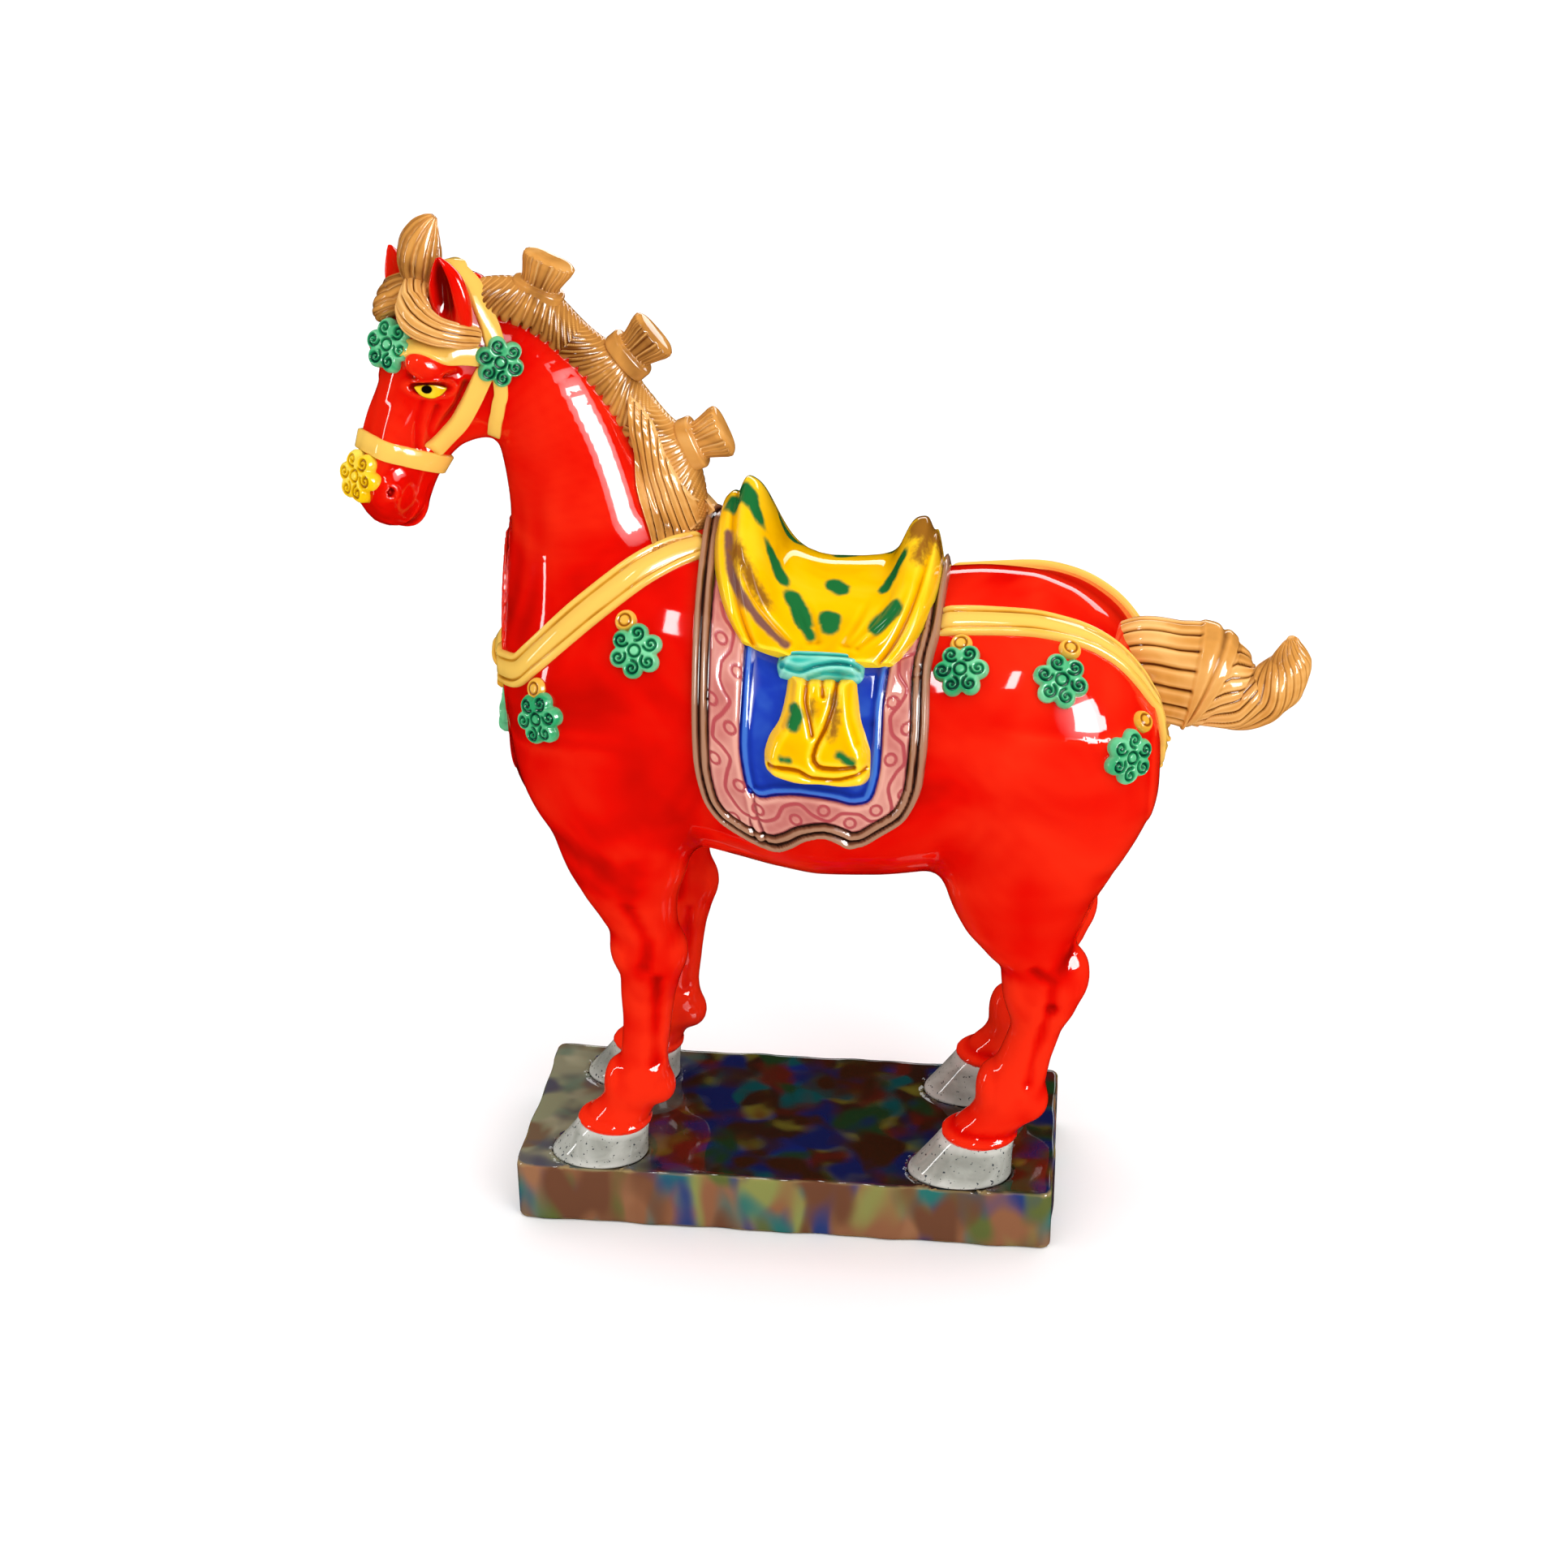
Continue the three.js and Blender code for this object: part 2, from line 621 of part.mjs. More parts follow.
function forelock() {
  const base = onHead(0, 9, 0);
  const rows = [
    [base.x, base.y, base.z - 5, 6.5, 5.5],
    [base.x + 0.2, base.y, base.z - 1.6, 5, 4.2],
    [base.x + 0.3, base.y, base.z - 1.2, 5.9, 5.2],
    [base.x + 0.4, base.y, base.z + 1.2, 5.9, 5.2],
    [base.x + 0.5, base.y, base.z + 1.6, 4.4, 3.8],
    [base.x + 0.2, base.y, base.z + 6, 5.3, 5.2],
    [base.x + 0.4, base.y, base.z + 10.4, 4.8, 4.8],
    [base.x + 1.8, base.y + 0.2, base.z + 14, 3.3, 3.5],
    [base.x + 3.6, base.y + 0.3, base.z + 16.4, 1, 1.2],
  ];
  return limb(rows, { count: 12, sides: 8 });
}

// Locks parted from the poll to each side of the brow.
function fringe(flip) {
  const rows = [
    [0, 9.5, 1, 3.4, 3],
    [4, 10.6, 3.6, 4.6, 2.6],
    [7.5, 9.6, 7.4, 4.6, 2.6],
    [9, 6.2, 11, 3.8, 2.2],
    [8.6, 1.6, 13, 3, 2],
    [8, -2, 13.8, 2.2, 1.6],
  ].map(([u, v, w, wide, thick]) => {
    const p = onHead(u, v, flip * w);
    return [p.x, p.y, p.z, wide, thick];
  });
  const along = onHead(1, 0, 0).sub(onHead(0, 0, 0));
  return limb(rows, { count: 6, sides: 6, across: () => along.clone(), power: 2.3 });
}

function ball(centre, sizes, axes) {
  const rings = 5;
  return skin(
    Array.from({ length: rings }, (_, i) => {
      const rise = ((i + 0.5) / rings) * Math.PI;
      return Array.from({ length: 8 }, (_, j) => {
        const round = (Math.PI * j) / 4;
        const local = [Math.cos(rise), Math.sin(rise) * Math.cos(round), Math.sin(rise) * Math.sin(round)];
        return axes.reduce((p, axis, k) => p.addScaledVector(axis, local[k] * sizes[k]), centre.clone());
      });
    }),
  );
}

const headAxes = [[1, 0, 0], [0, 1, 0], [0, 0, 1]].map((a) => onHead(...a).sub(onHead(0, 0, 0)));

const brow = (flip) => ball(onHead(20.5, 6.2, flip * 8.2), [5.2, 3.2, 3.4], headAxes);

const nostril = (flip) => ball(onHead(51.5, 2.6, flip * 7.6), [1.7, 1.1, 1.6], headAxes);

function mouth() {
  const rows = [[-12, -7.6], [0, -7.9], [12, -7.6]].map(([w, v]) => {
    const p = onHead(57.5, v, w);
    return [p.x, p.y, p.z, 0.7, 5];
  });
  return limb(rows, { count: 3, sides: 8, across: () => headAxes[1].clone() });
}

function bridle() {
  const crown = { half: 2.5, lift: 1.3 };
  const noseBand = Array.from({ length: 13 }, (_, k) => [41.6 - 1.4 * Math.sin(radians(30 * k)), 30 * k]);
  const crownBand = mirroredPath([[12, -20], [6, 30], [-1, 62]], 90);
  const browBand = mirroredPath([[13, -10], [14.2, 40], [14.2, 70]], 90);
  const cheekBand = [[12, -20], [24, -24], [34, -22], [42, -12]];
  const farCheekBand = cheekBand.map(([u, degrees]) => [u, 180 - degrees]);
  return [
    band(skull, noseBand, { ...crown, count: 9 }),
    band(skull, crownBand, { ...crown, count: 9 }),
    band(skull, browBand, { ...crown, count: 9 }),
    band(skull, cheekBand, { ...crown, count: 6 }),
    band(skull, farCheekBand, { ...crown, count: 6 }),
  ];
}

function headgear() {
  const up = new THREE.Vector3(0, 0, 1);
  return HEAD_ROSETTES.map(([u, degrees, share, lift]) => {
    const size = { ...ROSETTE, radius: ROSETTE.radius * share, lift };
    return rosette(skull.point(u, degrees), skull.normal(u, degrees), up, size);
  });
}

// The combed lock that lies down each side of the neck, from the crest to the collar.
function sideLock(flip) {
  const rows = [
    [-38.5, 8.5, 217, 1.5, 1.5],
    [-36.5, 11.5, 207, 2.6, 4.2],
    [-34.5, 14.5, 197.5, 3, 6.2],
    [-33, 17.5, 190, 3, 7.8],
  ].map(([x, y, z, thick, wide]) => [x, -flip * y, z, thick, wide]);
  return limb(rows, { count: 4, sides: 6 });
}

function horse() {
  const up = new THREE.Vector3(0, 0, 1);
  const sole = PLINTH.height - SEAT.depth + SEAT.gap;
  const turned = (t) => {
    const turn = radians(HEAD.turn) * Math.max(0, (t - 0.45) / 0.55);
    return new THREE.Vector3(Math.sin(turn), -Math.cos(turn), 0);
  };
  const parts = [
    body(barrel, BARREL, 20, 20),
    limb(NECK, { count: 8, sides: 14, across: turned }),
    body(skull, SKULL, 13, 14),
    limb(MANE, { count: 18, sides: 8, shape: (angle, t, i) => (i % 2 ? 1.05 : 0.97) }),
    limb(TAIL, {
      count: 11,
      sides: 12,
      shape: (angle, t) => 1 + 0.06 * Math.cos(5 * angle + 9 * Math.max(0, t - 0.45)) - (t < 0.3 ? 0.05 : 0),
    }),
    forelock(),
    saddle(),
    blanket(),
    band(barrel, mirroredPath(COLLAR, 90), { ...STRAP, count: 21 }),
    band(barrel, mirroredPath(BREECHING, -90), { ...STRAP, count: 21 }),
    ...bridle(),
    ...headgear(),
    ...TUFTS.map(tuft),
    ...STANCES.map((s) => leg(s.rows, s.side, s.shift)),
    ...STANCES.map((s) => hoof(s.hoof, s.side, s.shift, s.hoof.coronet, sole)),
  ];
  const front = new THREE.Vector3(-1, 0, 0);
  parts.push(rosette(new THREE.Vector3(...CHEST_ROSETTE), front, up, ROSETTE));
  [1, -1].forEach((flip) => {
    parts.push(ear(flip), fringe(flip), brow(flip), sideLock(flip), knot(flip), tassel(flip));
    const mirror = (degrees) => (flip > 0 ? degrees : 180 - degrees);
    BARREL_ROSETTES.forEach(([x, degrees]) => {
      parts.push(rosette(barrel.point(x, mirror(degrees)), barrel.normal(x, mirror(degrees)), up, ROSETTE));
    });
  });
  return joined(parts).subtract(nostril(1)).subtract(nostril(-1)).subtract(mouth());
}

function meshOf(name, manifold, material) {
  const made = manifold.getMesh();
  const geometry = new THREE.BufferGeometry();
  geometry.setAttribute("position", new THREE.BufferAttribute(made.vertProperties, made.numProp));
  geometry.setIndex(new THREE.BufferAttribute(made.triVerts, 1));
  geometry.computeVertexNormals();
  const mesh = new THREE.Mesh(geometry, new THREE.MeshStandardMaterial(material));
  mesh.name = name;
  return mesh;
}

const figurine = new THREE.Group();
figurine.name = "horse_figurine";
figurine.add(meshOf("horse", horse(), { color: 0xd8240f, roughness: 0.16, metalness: 0 }));
figurine.add(meshOf("plinth", plinth(), { color: 0x4a4a3c, roughness: 0.2, metalness: 0 }));

export default figurine;
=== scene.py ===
import bpy
import math
import numpy as np
from mathutils import Matrix, Vector


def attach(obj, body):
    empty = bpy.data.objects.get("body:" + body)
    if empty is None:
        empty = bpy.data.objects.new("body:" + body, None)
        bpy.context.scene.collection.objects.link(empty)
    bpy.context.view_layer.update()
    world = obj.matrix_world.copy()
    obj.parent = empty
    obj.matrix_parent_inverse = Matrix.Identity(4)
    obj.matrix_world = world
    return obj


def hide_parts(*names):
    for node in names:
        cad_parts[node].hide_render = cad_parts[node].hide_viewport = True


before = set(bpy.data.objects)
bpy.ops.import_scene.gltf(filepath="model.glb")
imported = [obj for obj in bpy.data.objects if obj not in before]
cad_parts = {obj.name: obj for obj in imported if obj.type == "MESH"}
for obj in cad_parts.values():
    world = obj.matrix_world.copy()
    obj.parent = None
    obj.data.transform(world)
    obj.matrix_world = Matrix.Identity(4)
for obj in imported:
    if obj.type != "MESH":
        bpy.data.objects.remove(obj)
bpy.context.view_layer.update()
scene = bpy.context.scene

mm = 0.001  # everything below is worked out in millimetres


# Camera, floor and lights

photoCamera = {
    "place": (76.6, -614.0, 425.1),
    "yaw": -7.25,
    "down": 26.24,
    "roll": -0.8,
    "focalPixels": 3261.4,
    "imagePixels": 1932,
    "sensor": 36,
}


def makeCamera(size):
    yaw, down, roll = (math.radians(size[k]) for k in ("yaw", "down", "roll"))
    ahead = Vector((math.sin(yaw) * math.cos(down), math.cos(yaw) * math.cos(down), -math.sin(down)))
    right = Vector((math.cos(yaw), -math.sin(yaw), 0))
    up = right.cross(ahead)
    turned = right * math.cos(roll) + up * math.sin(roll)
    rise = up * math.cos(roll) - right * math.sin(roll)
    data = bpy.data.cameras.new("photoView")
    data.sensor_width = size["sensor"]
    data.lens = size["focalPixels"] * size["sensor"] / size["imagePixels"]
    camera = bpy.data.objects.new("photoView", data)
    axes = Matrix((turned, rise, -ahead)).transposed().to_4x4()
    camera.matrix_world = Matrix.Translation(Vector(size["place"]) * mm) @ axes
    scene.collection.objects.link(camera)
    scene.camera = camera


makeCamera(photoCamera)
scene.view_settings.view_transform = "Standard"
print("camera placed")


# Small tools

def toLinear(hexColour):
    parts = [int(hexColour[i:i + 2], 16) / 255 for i in (1, 3, 5)]
    return tuple(p / 12.92 if p <= 0.04045 else ((p + 0.055) / 1.055) ** 2.4 for p in parts) + (1.0,)


# Adds a node; settings are its own properties or input values, links run to its inputs
def addNode(tree, kind, settings=None, links=None):
    node = tree.nodes.new(kind)
    for key, value in (settings or {}).items():
        if isinstance(key, str) and hasattr(node, key):
            setattr(node, key, value)
        else:
            node.inputs[key].default_value = value
    for key, source in (links or {}).items():
        tree.links.new(source, node.inputs[key])
    return node


# Rows of numbers keyed by their first column, joined by a smooth curve that never overshoots
def smoothRows(rows):
    rows = np.asarray(sorted(rows, key=lambda row: row[0]), float)
    keys, values = rows[:, 0], rows[:, 1:]
    gaps = np.diff(keys)
    secants = np.diff(values, axis=0) / gaps[:, None]
    product = secants[:-1] * secants[1:]
    total = np.where(product > 0, secants[:-1] + secants[1:], 1)
    inner = np.where(product > 0, 2 * product / total, 0)
    slopes = np.vstack([secants[:1], inner, secants[-1:]])

    def at(where):
        where = np.clip(np.asarray(where, float), keys[0], keys[-1])
        flat = where.ravel()
        i = np.clip(np.searchsorted(keys, flat) - 1, 0, len(gaps) - 1)
        t = ((flat - keys[i]) / gaps[i])[:, None]
        s = 1 - t
        bend = gaps[i][:, None] * t * s * (slopes[i] * s - slopes[i + 1] * t)
        out = values[i] * s * s * (1 + 2 * t) + values[i + 1] * t * t * (3 - 2 * t) + bend
        return out.reshape(where.shape + (values.shape[1],))

    return at


# The same for points in space, keyed by the length along them
def smoothPath(points, count):
    points = np.asarray(points, float)
    steps = np.linalg.norm(np.diff(points[:, :3], axis=0), axis=1)
    along = np.concatenate([[0], np.cumsum(steps)])
    at = smoothRows(np.column_stack([along, points]).tolist())
    return at(np.linspace(0, along[-1], count))


def unit(vectors):
    return vectors / np.maximum(np.linalg.norm(vectors, axis=-1, keepdims=True), 1e-9)


def hump(value, middle, spread):
    return np.exp(-(((value - middle) / spread) ** 2))


def ease(value, low, high):
    t = np.clip((value - low) / (high - low), 0, 1)
    return t * t * (3 - 2 * t)


def placeMesh(name, mesh):
    obj = bpy.data.objects.new(name, mesh)
    scene.collection.objects.link(obj)
    return obj


def makeObject(name, points, faces, marks=None):
    mesh = bpy.data.meshes.new(name)
    mesh.from_pydata((np.asarray(points) * mm).tolist(), [], [list(map(int, f)) for f in faces])
    for key, values in (marks or {}).items():
        mesh.attributes.new(key, "FLOAT", "POINT").data.foreach_set("value", np.asarray(values, np.float32))
    mesh.shade_smooth()
    mesh.update()
    return placeMesh(name, mesh)


# Quads over a net of points; wrap joins the last column to the first, caps close the two ends
def netFaces(rows, columns, wrap=True, caps=True):
    i, j = np.meshgrid(np.arange(rows - 1), np.arange(columns if wrap else columns - 1), indexing="ij")
    i, j = i.ravel(), j.ravel()
    k = (j + 1) % columns
    quads = np.column_stack([i * columns + j, i * columns + k, (i + 1) * columns + k, (i + 1) * columns + j])
    faces = quads.tolist()
    if wrap and caps:
        start, end = rows * columns, rows * columns + 1
        last = (rows - 1) * columns
        faces += [[start, (c + 1) % columns, c] for c in range(columns)]
        faces += [[end, last + c, last + (c + 1) % columns] for c in range(columns)]
    return faces


# Six times the volume inside a closed skin of triangles and quads, negative when it is inside out
def signedVolume(points, faces):
    total = 0.0
    for corners in (3, 4):
        group = np.array([f for f in faces if len(f) == corners], int).reshape(-1, corners)
        for k in range(1, corners - 1):
            a, b, c = (points[group[:, n]] for n in (0, k, k + 1))
            total += np.einsum("ij,ij->", a, np.cross(b, c))
    return total


# A closed skin over rings of points, with any marks painted on it
def loft(name, rings, marks=None):
    rows, columns = rings.shape[:2]
    ends = [rings[0].mean(axis=0), rings[-1].mean(axis=0)]
    points = np.vstack([rings.reshape(-1, 3), ends])
    faces = netFaces(rows, columns)
    corners = np.array([f[:3] for f in faces])
    a, b, c = (points[corners[:, k]] for k in range(3))
    if np.einsum("ij,ij->", a, np.cross(b, c)) < 0:
        faces = [f[::-1] for f in faces]
    full = {k: np.concatenate([v.ravel(), [v[0].mean(), v[-1].mean()]]) for k, v in (marks or {}).items()}
    return makeObject(name, points, faces, full)


# How deep each point lies below the skin around it, from -1 on edges to 1 in hollows
def markHollows(obj, rounds=8, reach=0.35):
    mesh = obj.data
    count = len(mesh.vertices)
    points = np.empty(count * 3)
    mesh.vertices.foreach_get("co", points)
    points = points.reshape(-1, 3) / mm
    normals = np.empty(count * 3)
    mesh.vertex_normals.foreach_get("vector", normals)
    edges = np.empty(len(mesh.edges) * 2, np.int32)
    mesh.edges.foreach_get("vertices", edges)
    a, b = edges.reshape(-1, 2).T
    degree = np.bincount(a, minlength=count) + np.bincount(b, minlength=count)
    smooth = points.copy()
    for _ in range(rounds):
        total = np.empty_like(smooth)
        for k in range(3):
            total[:, k] = np.bincount(a, smooth[b, k], count) + np.bincount(b, smooth[a, k], count)
        smooth = 0.5 * smooth + 0.5 * total / np.maximum(degree, 1)[:, None]
    depth = np.einsum("ij,ij->i", smooth - points, normals.reshape(-1, 3)) / reach
    values = np.clip(depth, -1, 1).astype(np.float32)
    mesh.attributes.new("hollow", "FLOAT", "POINT").data.foreach_set("value", values)


bothSides = ((1, "near"), (-1, "far"))


def keep(obj, node, material):
    obj.data.materials.clear()
    obj.data.materials.append(material)
    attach(obj, "root")
    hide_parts(node)
    return obj


# Geometry Nodes: runs a tree on an object and leaves a plain mesh
def runTree(obj, tree, inputs):
    modifier = obj.modifiers.new(tree.name, "NODES")
    modifier.node_group = tree
    for item in tree.interface.items_tree:
        if item.item_type == "SOCKET" and item.in_out == "INPUT" and item.name in inputs:
            modifier[item.identifier] = inputs[item.name]
    bpy.context.view_layer.update()
    graph = bpy.context.evaluated_depsgraph_get()
    made = bpy.data.meshes.new_from_object(obj.evaluated_get(graph), depsgraph=graph)
    obj.modifiers.clear()
    obj.data = made
    return obj


def newTree(name, sockets):
    tree = bpy.data.node_groups.new(name, "GeometryNodeTree")
    tree.interface.new_socket("Geometry", in_out="INPUT", socket_type="NodeSocketGeometry")
    for key, kind in sockets.items():
        tree.interface.new_socket(key, in_out="INPUT", socket_type="NodeSocket" + kind)
    tree.interface.new_socket("Geometry", in_out="OUTPUT", socket_type="NodeSocketGeometry")
    source = tree.nodes.new("NodeGroupInput")
    return tree, source.outputs


# Glazes

earthenware = {
    "ior": 1.5, "roughness": 0.5, "specular": 0.0, "coat": 1.0, "coatRoughness": 0.05, "coatIor": 1.5,
}


def mixBy(tree, factor, first, second):
    node = tree.nodes.new("ShaderNodeMix")
    node.data_type = "RGBA"
    for key, value in ((0, factor), (6, first), (7, second)):
        if isinstance(value, (tuple, float, int)):
            node.inputs[key].default_value = value
        else:
            tree.links.new(value, node.inputs[key])
    return node.outputs[2]


# Where a painted mark lies: its attribute is a distance in millimetres, and a brush leaves a ragged edge
def brushed(tree, place, attribute, low, high, ragged, grain):
    mark = addNode(tree, "ShaderNodeAttribute", {"attribute_name": attribute}).outputs["Fac"]
    noise = addNode(tree, "ShaderNodeTexNoise", {"Scale": 1 / (grain * mm), "Detail": 3.0}, {"Vector": place})
    shift = addNode(tree, "ShaderNodeMath", {"operation": "MULTIPLY_ADD", 1: ragged * 2, 2: -ragged},
                    {0: noise.outputs["Fac"]}).outputs[0]
    moved = addNode(tree, "ShaderNodeMath", {"operation": "ADD"}, {0: mark, 1: shift}).outputs[0]
    return addNode(tree, "ShaderNodeMapRange",
                   {"From Min": low, "From Max": high, "interpolation_type": "SMOOTHSTEP"},
                   {"Value": moved}).outputs["Result"]


# How thick the glaze lies: it runs thin off edges, pools in hollows and clouds in patches
def thickness(tree, place, patch, pool, drift):
    cloud = addNode(tree, "ShaderNodeTexNoise", {"Scale": 1 / (patch * mm), "Detail": 3.0, "Distortion": 0.7},
                    {"Vector": place}).outputs["Fac"]
    hollow = addNode(tree, "ShaderNodeAttribute", {"attribute_name": "hollow"}).outputs["Fac"]
    cloudy = addNode(tree, "ShaderNodeMapRange",
                     {"From Min": 0.3, "From Max": 0.7, "To Min": -drift, "To Max": drift},
                     {"Value": cloud}).outputs["Result"]
    depth = addNode(tree, "ShaderNodeMath", {"operation": "MULTIPLY_ADD", 1: pool * 0.5, 2: 0.45},
                    {0: hollow}).outputs[0]
    return addNode(tree, "ShaderNodeMath", {"operation": "ADD", "use_clamp": True},
                   {0: depth, 1: cloudy}).outputs[0]


def glazeRamp(tree, amount, thin, body, deep):
    ramp = addNode(tree, "ShaderNodeValToRGB", links={"Fac": amount})
    ramp.color_ramp.elements[0].color = toLinear(thin)
    ramp.color_ramp.elements[0].position = 0.12
    ramp.color_ramp.elements[1].color = toLinear(deep)
    ramp.color_ramp.elements[1].position = 0.9
    ramp.color_ramp.elements.new(0.45).color = toLinear(body)
    return ramp.outputs["Color"]


# The clear wet coat over fired glaze, with the slow waviness that a glaze sets with
def fire(tree, place, colour):
    wave = addNode(tree, "ShaderNodeTexNoise", {"Scale": 1 / (8 * mm), "Detail": 2.0}, {"Vector": place})
    bump = addNode(tree, "ShaderNodeBump", {"Strength": 0.25, "Distance": 0.1 * mm},
                   {"Height": wave.outputs["Fac"]}).outputs["Normal"]
    shader = addNode(tree, "ShaderNodeBsdfPrincipled", {
        "Roughness": earthenware["roughness"], "IOR": earthenware["ior"],
        "Specular IOR Level": earthenware["specular"], "Coat Weight": earthenware["coat"],
        "Coat Roughness": earthenware["coatRoughness"], "Coat IOR": earthenware["coatIor"],
    }, {"Base Color": colour, "Normal": bump, "Coat Normal": bump})
    addNode(tree, "ShaderNodeOutputMaterial", links={"Surface": shader.outputs["BSDF"]})


def newGlaze(name):
    material = bpy.data.materials.new(name)
    material.use_nodes = True
    material.node_tree.nodes.clear()
    return material, material.node_tree, addNode(material.node_tree, "ShaderNodeTexCoord").outputs["Object"]


# Iron specks burnt through the glaze
def specked(tree, place, colour, speck, size, share):
    noise = addNode(tree, "ShaderNodeTexNoise", {"Scale": 1 / (size * mm), "Detail": 1.0}, {"Vector": place})
    spot = addNode(tree, "ShaderNodeMapRange", {"From Min": share, "From Max": share + 0.06},
                   {"Value": noise.outputs["Fac"]})
    return mixBy(tree, spot.outputs["Result"], colour, toLinear(speck))


# Glazed earthenware: brushed with one coloured glaze and fired under a clear coat. Marks brushed over it
# are tuples of attribute, colour, edge from, edge to, raggedness and grain.
def makeGlaze(name, thin, body, deep, patch=26, pool=1.0, drift=0.2, marks=(), specks=None):
    material, tree, place = newGlaze(name)
    colour = glazeRamp(tree, thickness(tree, place, patch, pool, drift), thin, body, deep)
    if specks:
        colour = specked(tree, place, colour, *specks)
    for attribute, paint, low, high, ragged, grain in marks:
        mark = brushed(tree, place, attribute, low, high, ragged, grain)
        colour = mixBy(tree, mark, colour, toLinear(paint))
    fire(tree, place, colour)
    return material


redGlaze = makeGlaze("redGlaze", "#ee2a10", "#dc0a02", "#780401", patch=40, pool=0.65, drift=0.27)
amberGlaze = makeGlaze("amberGlaze", "#f2bc74", "#d39246", "#582606", patch=16, pool=1.2)
ochreGlaze = makeGlaze("ochreGlaze", "#f2c25a", "#e0a030", "#94500e", patch=18, pool=1.25)
greenGlaze = makeGlaze("greenGlaze", "#7ad09a", "#2c9c62", "#04402e", patch=10, pool=1.2)
yellowGlaze = makeGlaze("yellowGlaze", "#f8dc58", "#f2c40e", "#b87808", patch=14, pool=1.1)
tealGlaze = makeGlaze("tealGlaze", "#8fdcc8", "#38b0a0", "#0c6a68", patch=10)
hoofGlaze = makeGlaze("hoofGlaze", "#c8c8c0", "#9c9d94", "#44463e", patch=9, pool=1.3, drift=0.16,
                      specks=("#3c4046", 0.9, 0.66))
saddleMarks = [
    # grooveShade is a mauve-brown painted shade in the groove between the front rim and the pommel
    ("grooveShade", "#7d5248", -0.6, 0.6, 0.5, 3.0),
    ("brown", "#94601c", -1.0, 1.6, 1.4, 1.3),
    ("green", "#1d6a34", -0.5, 0.8, 0.6, 2.4),
]
saddleGlaze = makeGlaze("saddleGlaze", "#ffd22c", "#fabc00", "#b46200", patch=22, pool=1.3, drift=0.14,
                        marks=saddleMarks)
eyeMarks = [("lid", "#3a0c08", -0.1, 0.25, 0.1, 1.0), ("pupil", "#0c0806", -0.1, 0.2, 0.08, 1.0)]
eyeGlaze = makeGlaze("eyeGlaze", "#f8de4c", "#f3c81e", "#c98a0c", patch=6, marks=eyeMarks)


# The blanket: pink glaze with darker scratched lines, a blue panel, and a brown rolled border
def makeBlanketGlaze():
    material, tree, place = newGlaze("blanketGlaze")
    amount = thickness(tree, place, 18, 1.2, 0.2)
    pink = glazeRamp(tree, amount, "#dea090", "#c0726a", "#863c40")
    line = brushed(tree, place, "line", 0.62, 0.25, 0.1, 1.2)
    pink = mixBy(tree, line, pink, toLinear("#b04c50"))
    blue = glazeRamp(tree, amount, "#4070c8", "#1c39aa", "#0a1462")
    brown = glazeRamp(tree, amount, "#a87c62", "#7a4832", "#2a140e")
    colour = mixBy(tree, brushed(tree, place, "panel", -0.15, 0.25, 0.2, 3.0), pink, blue)
    colour = mixBy(tree, brushed(tree, place, "rim", 4.75, 4.45, 0.2, 3.0), colour, brown)
    fire(tree, place, colour)
    return material


blanketGlaze = makeBlanketGlaze()


# The plinth: dabs of many glazes run softly into each other, round on the lid and drawn down the walls
# The paler dabs on the left part of the lid are a painted reflection of a light
mottles = {
    "lid": ["#2a1810", "#131f5a", "#5a561c", "#0e3e40", "#48180f", "#1a3018", "#141a48", "#2e180c"],
    "wall": ["#8a5c40", "#24346e", "#868a4c", "#2a6c66", "#96694a", "#5c6434", "#2c3c70", "#6a4430"],
    "pale": ["#7c7a62", "#4c4a48", "#8d8a70", "#5c6a58", "#66523e", "#7a7c60", "#484650"],
    "worn": "#a08a5c", "dark": "#120a06",
    "size": 11.5, "edge": (0.5, 0.68), "drawn": 0.5,
}


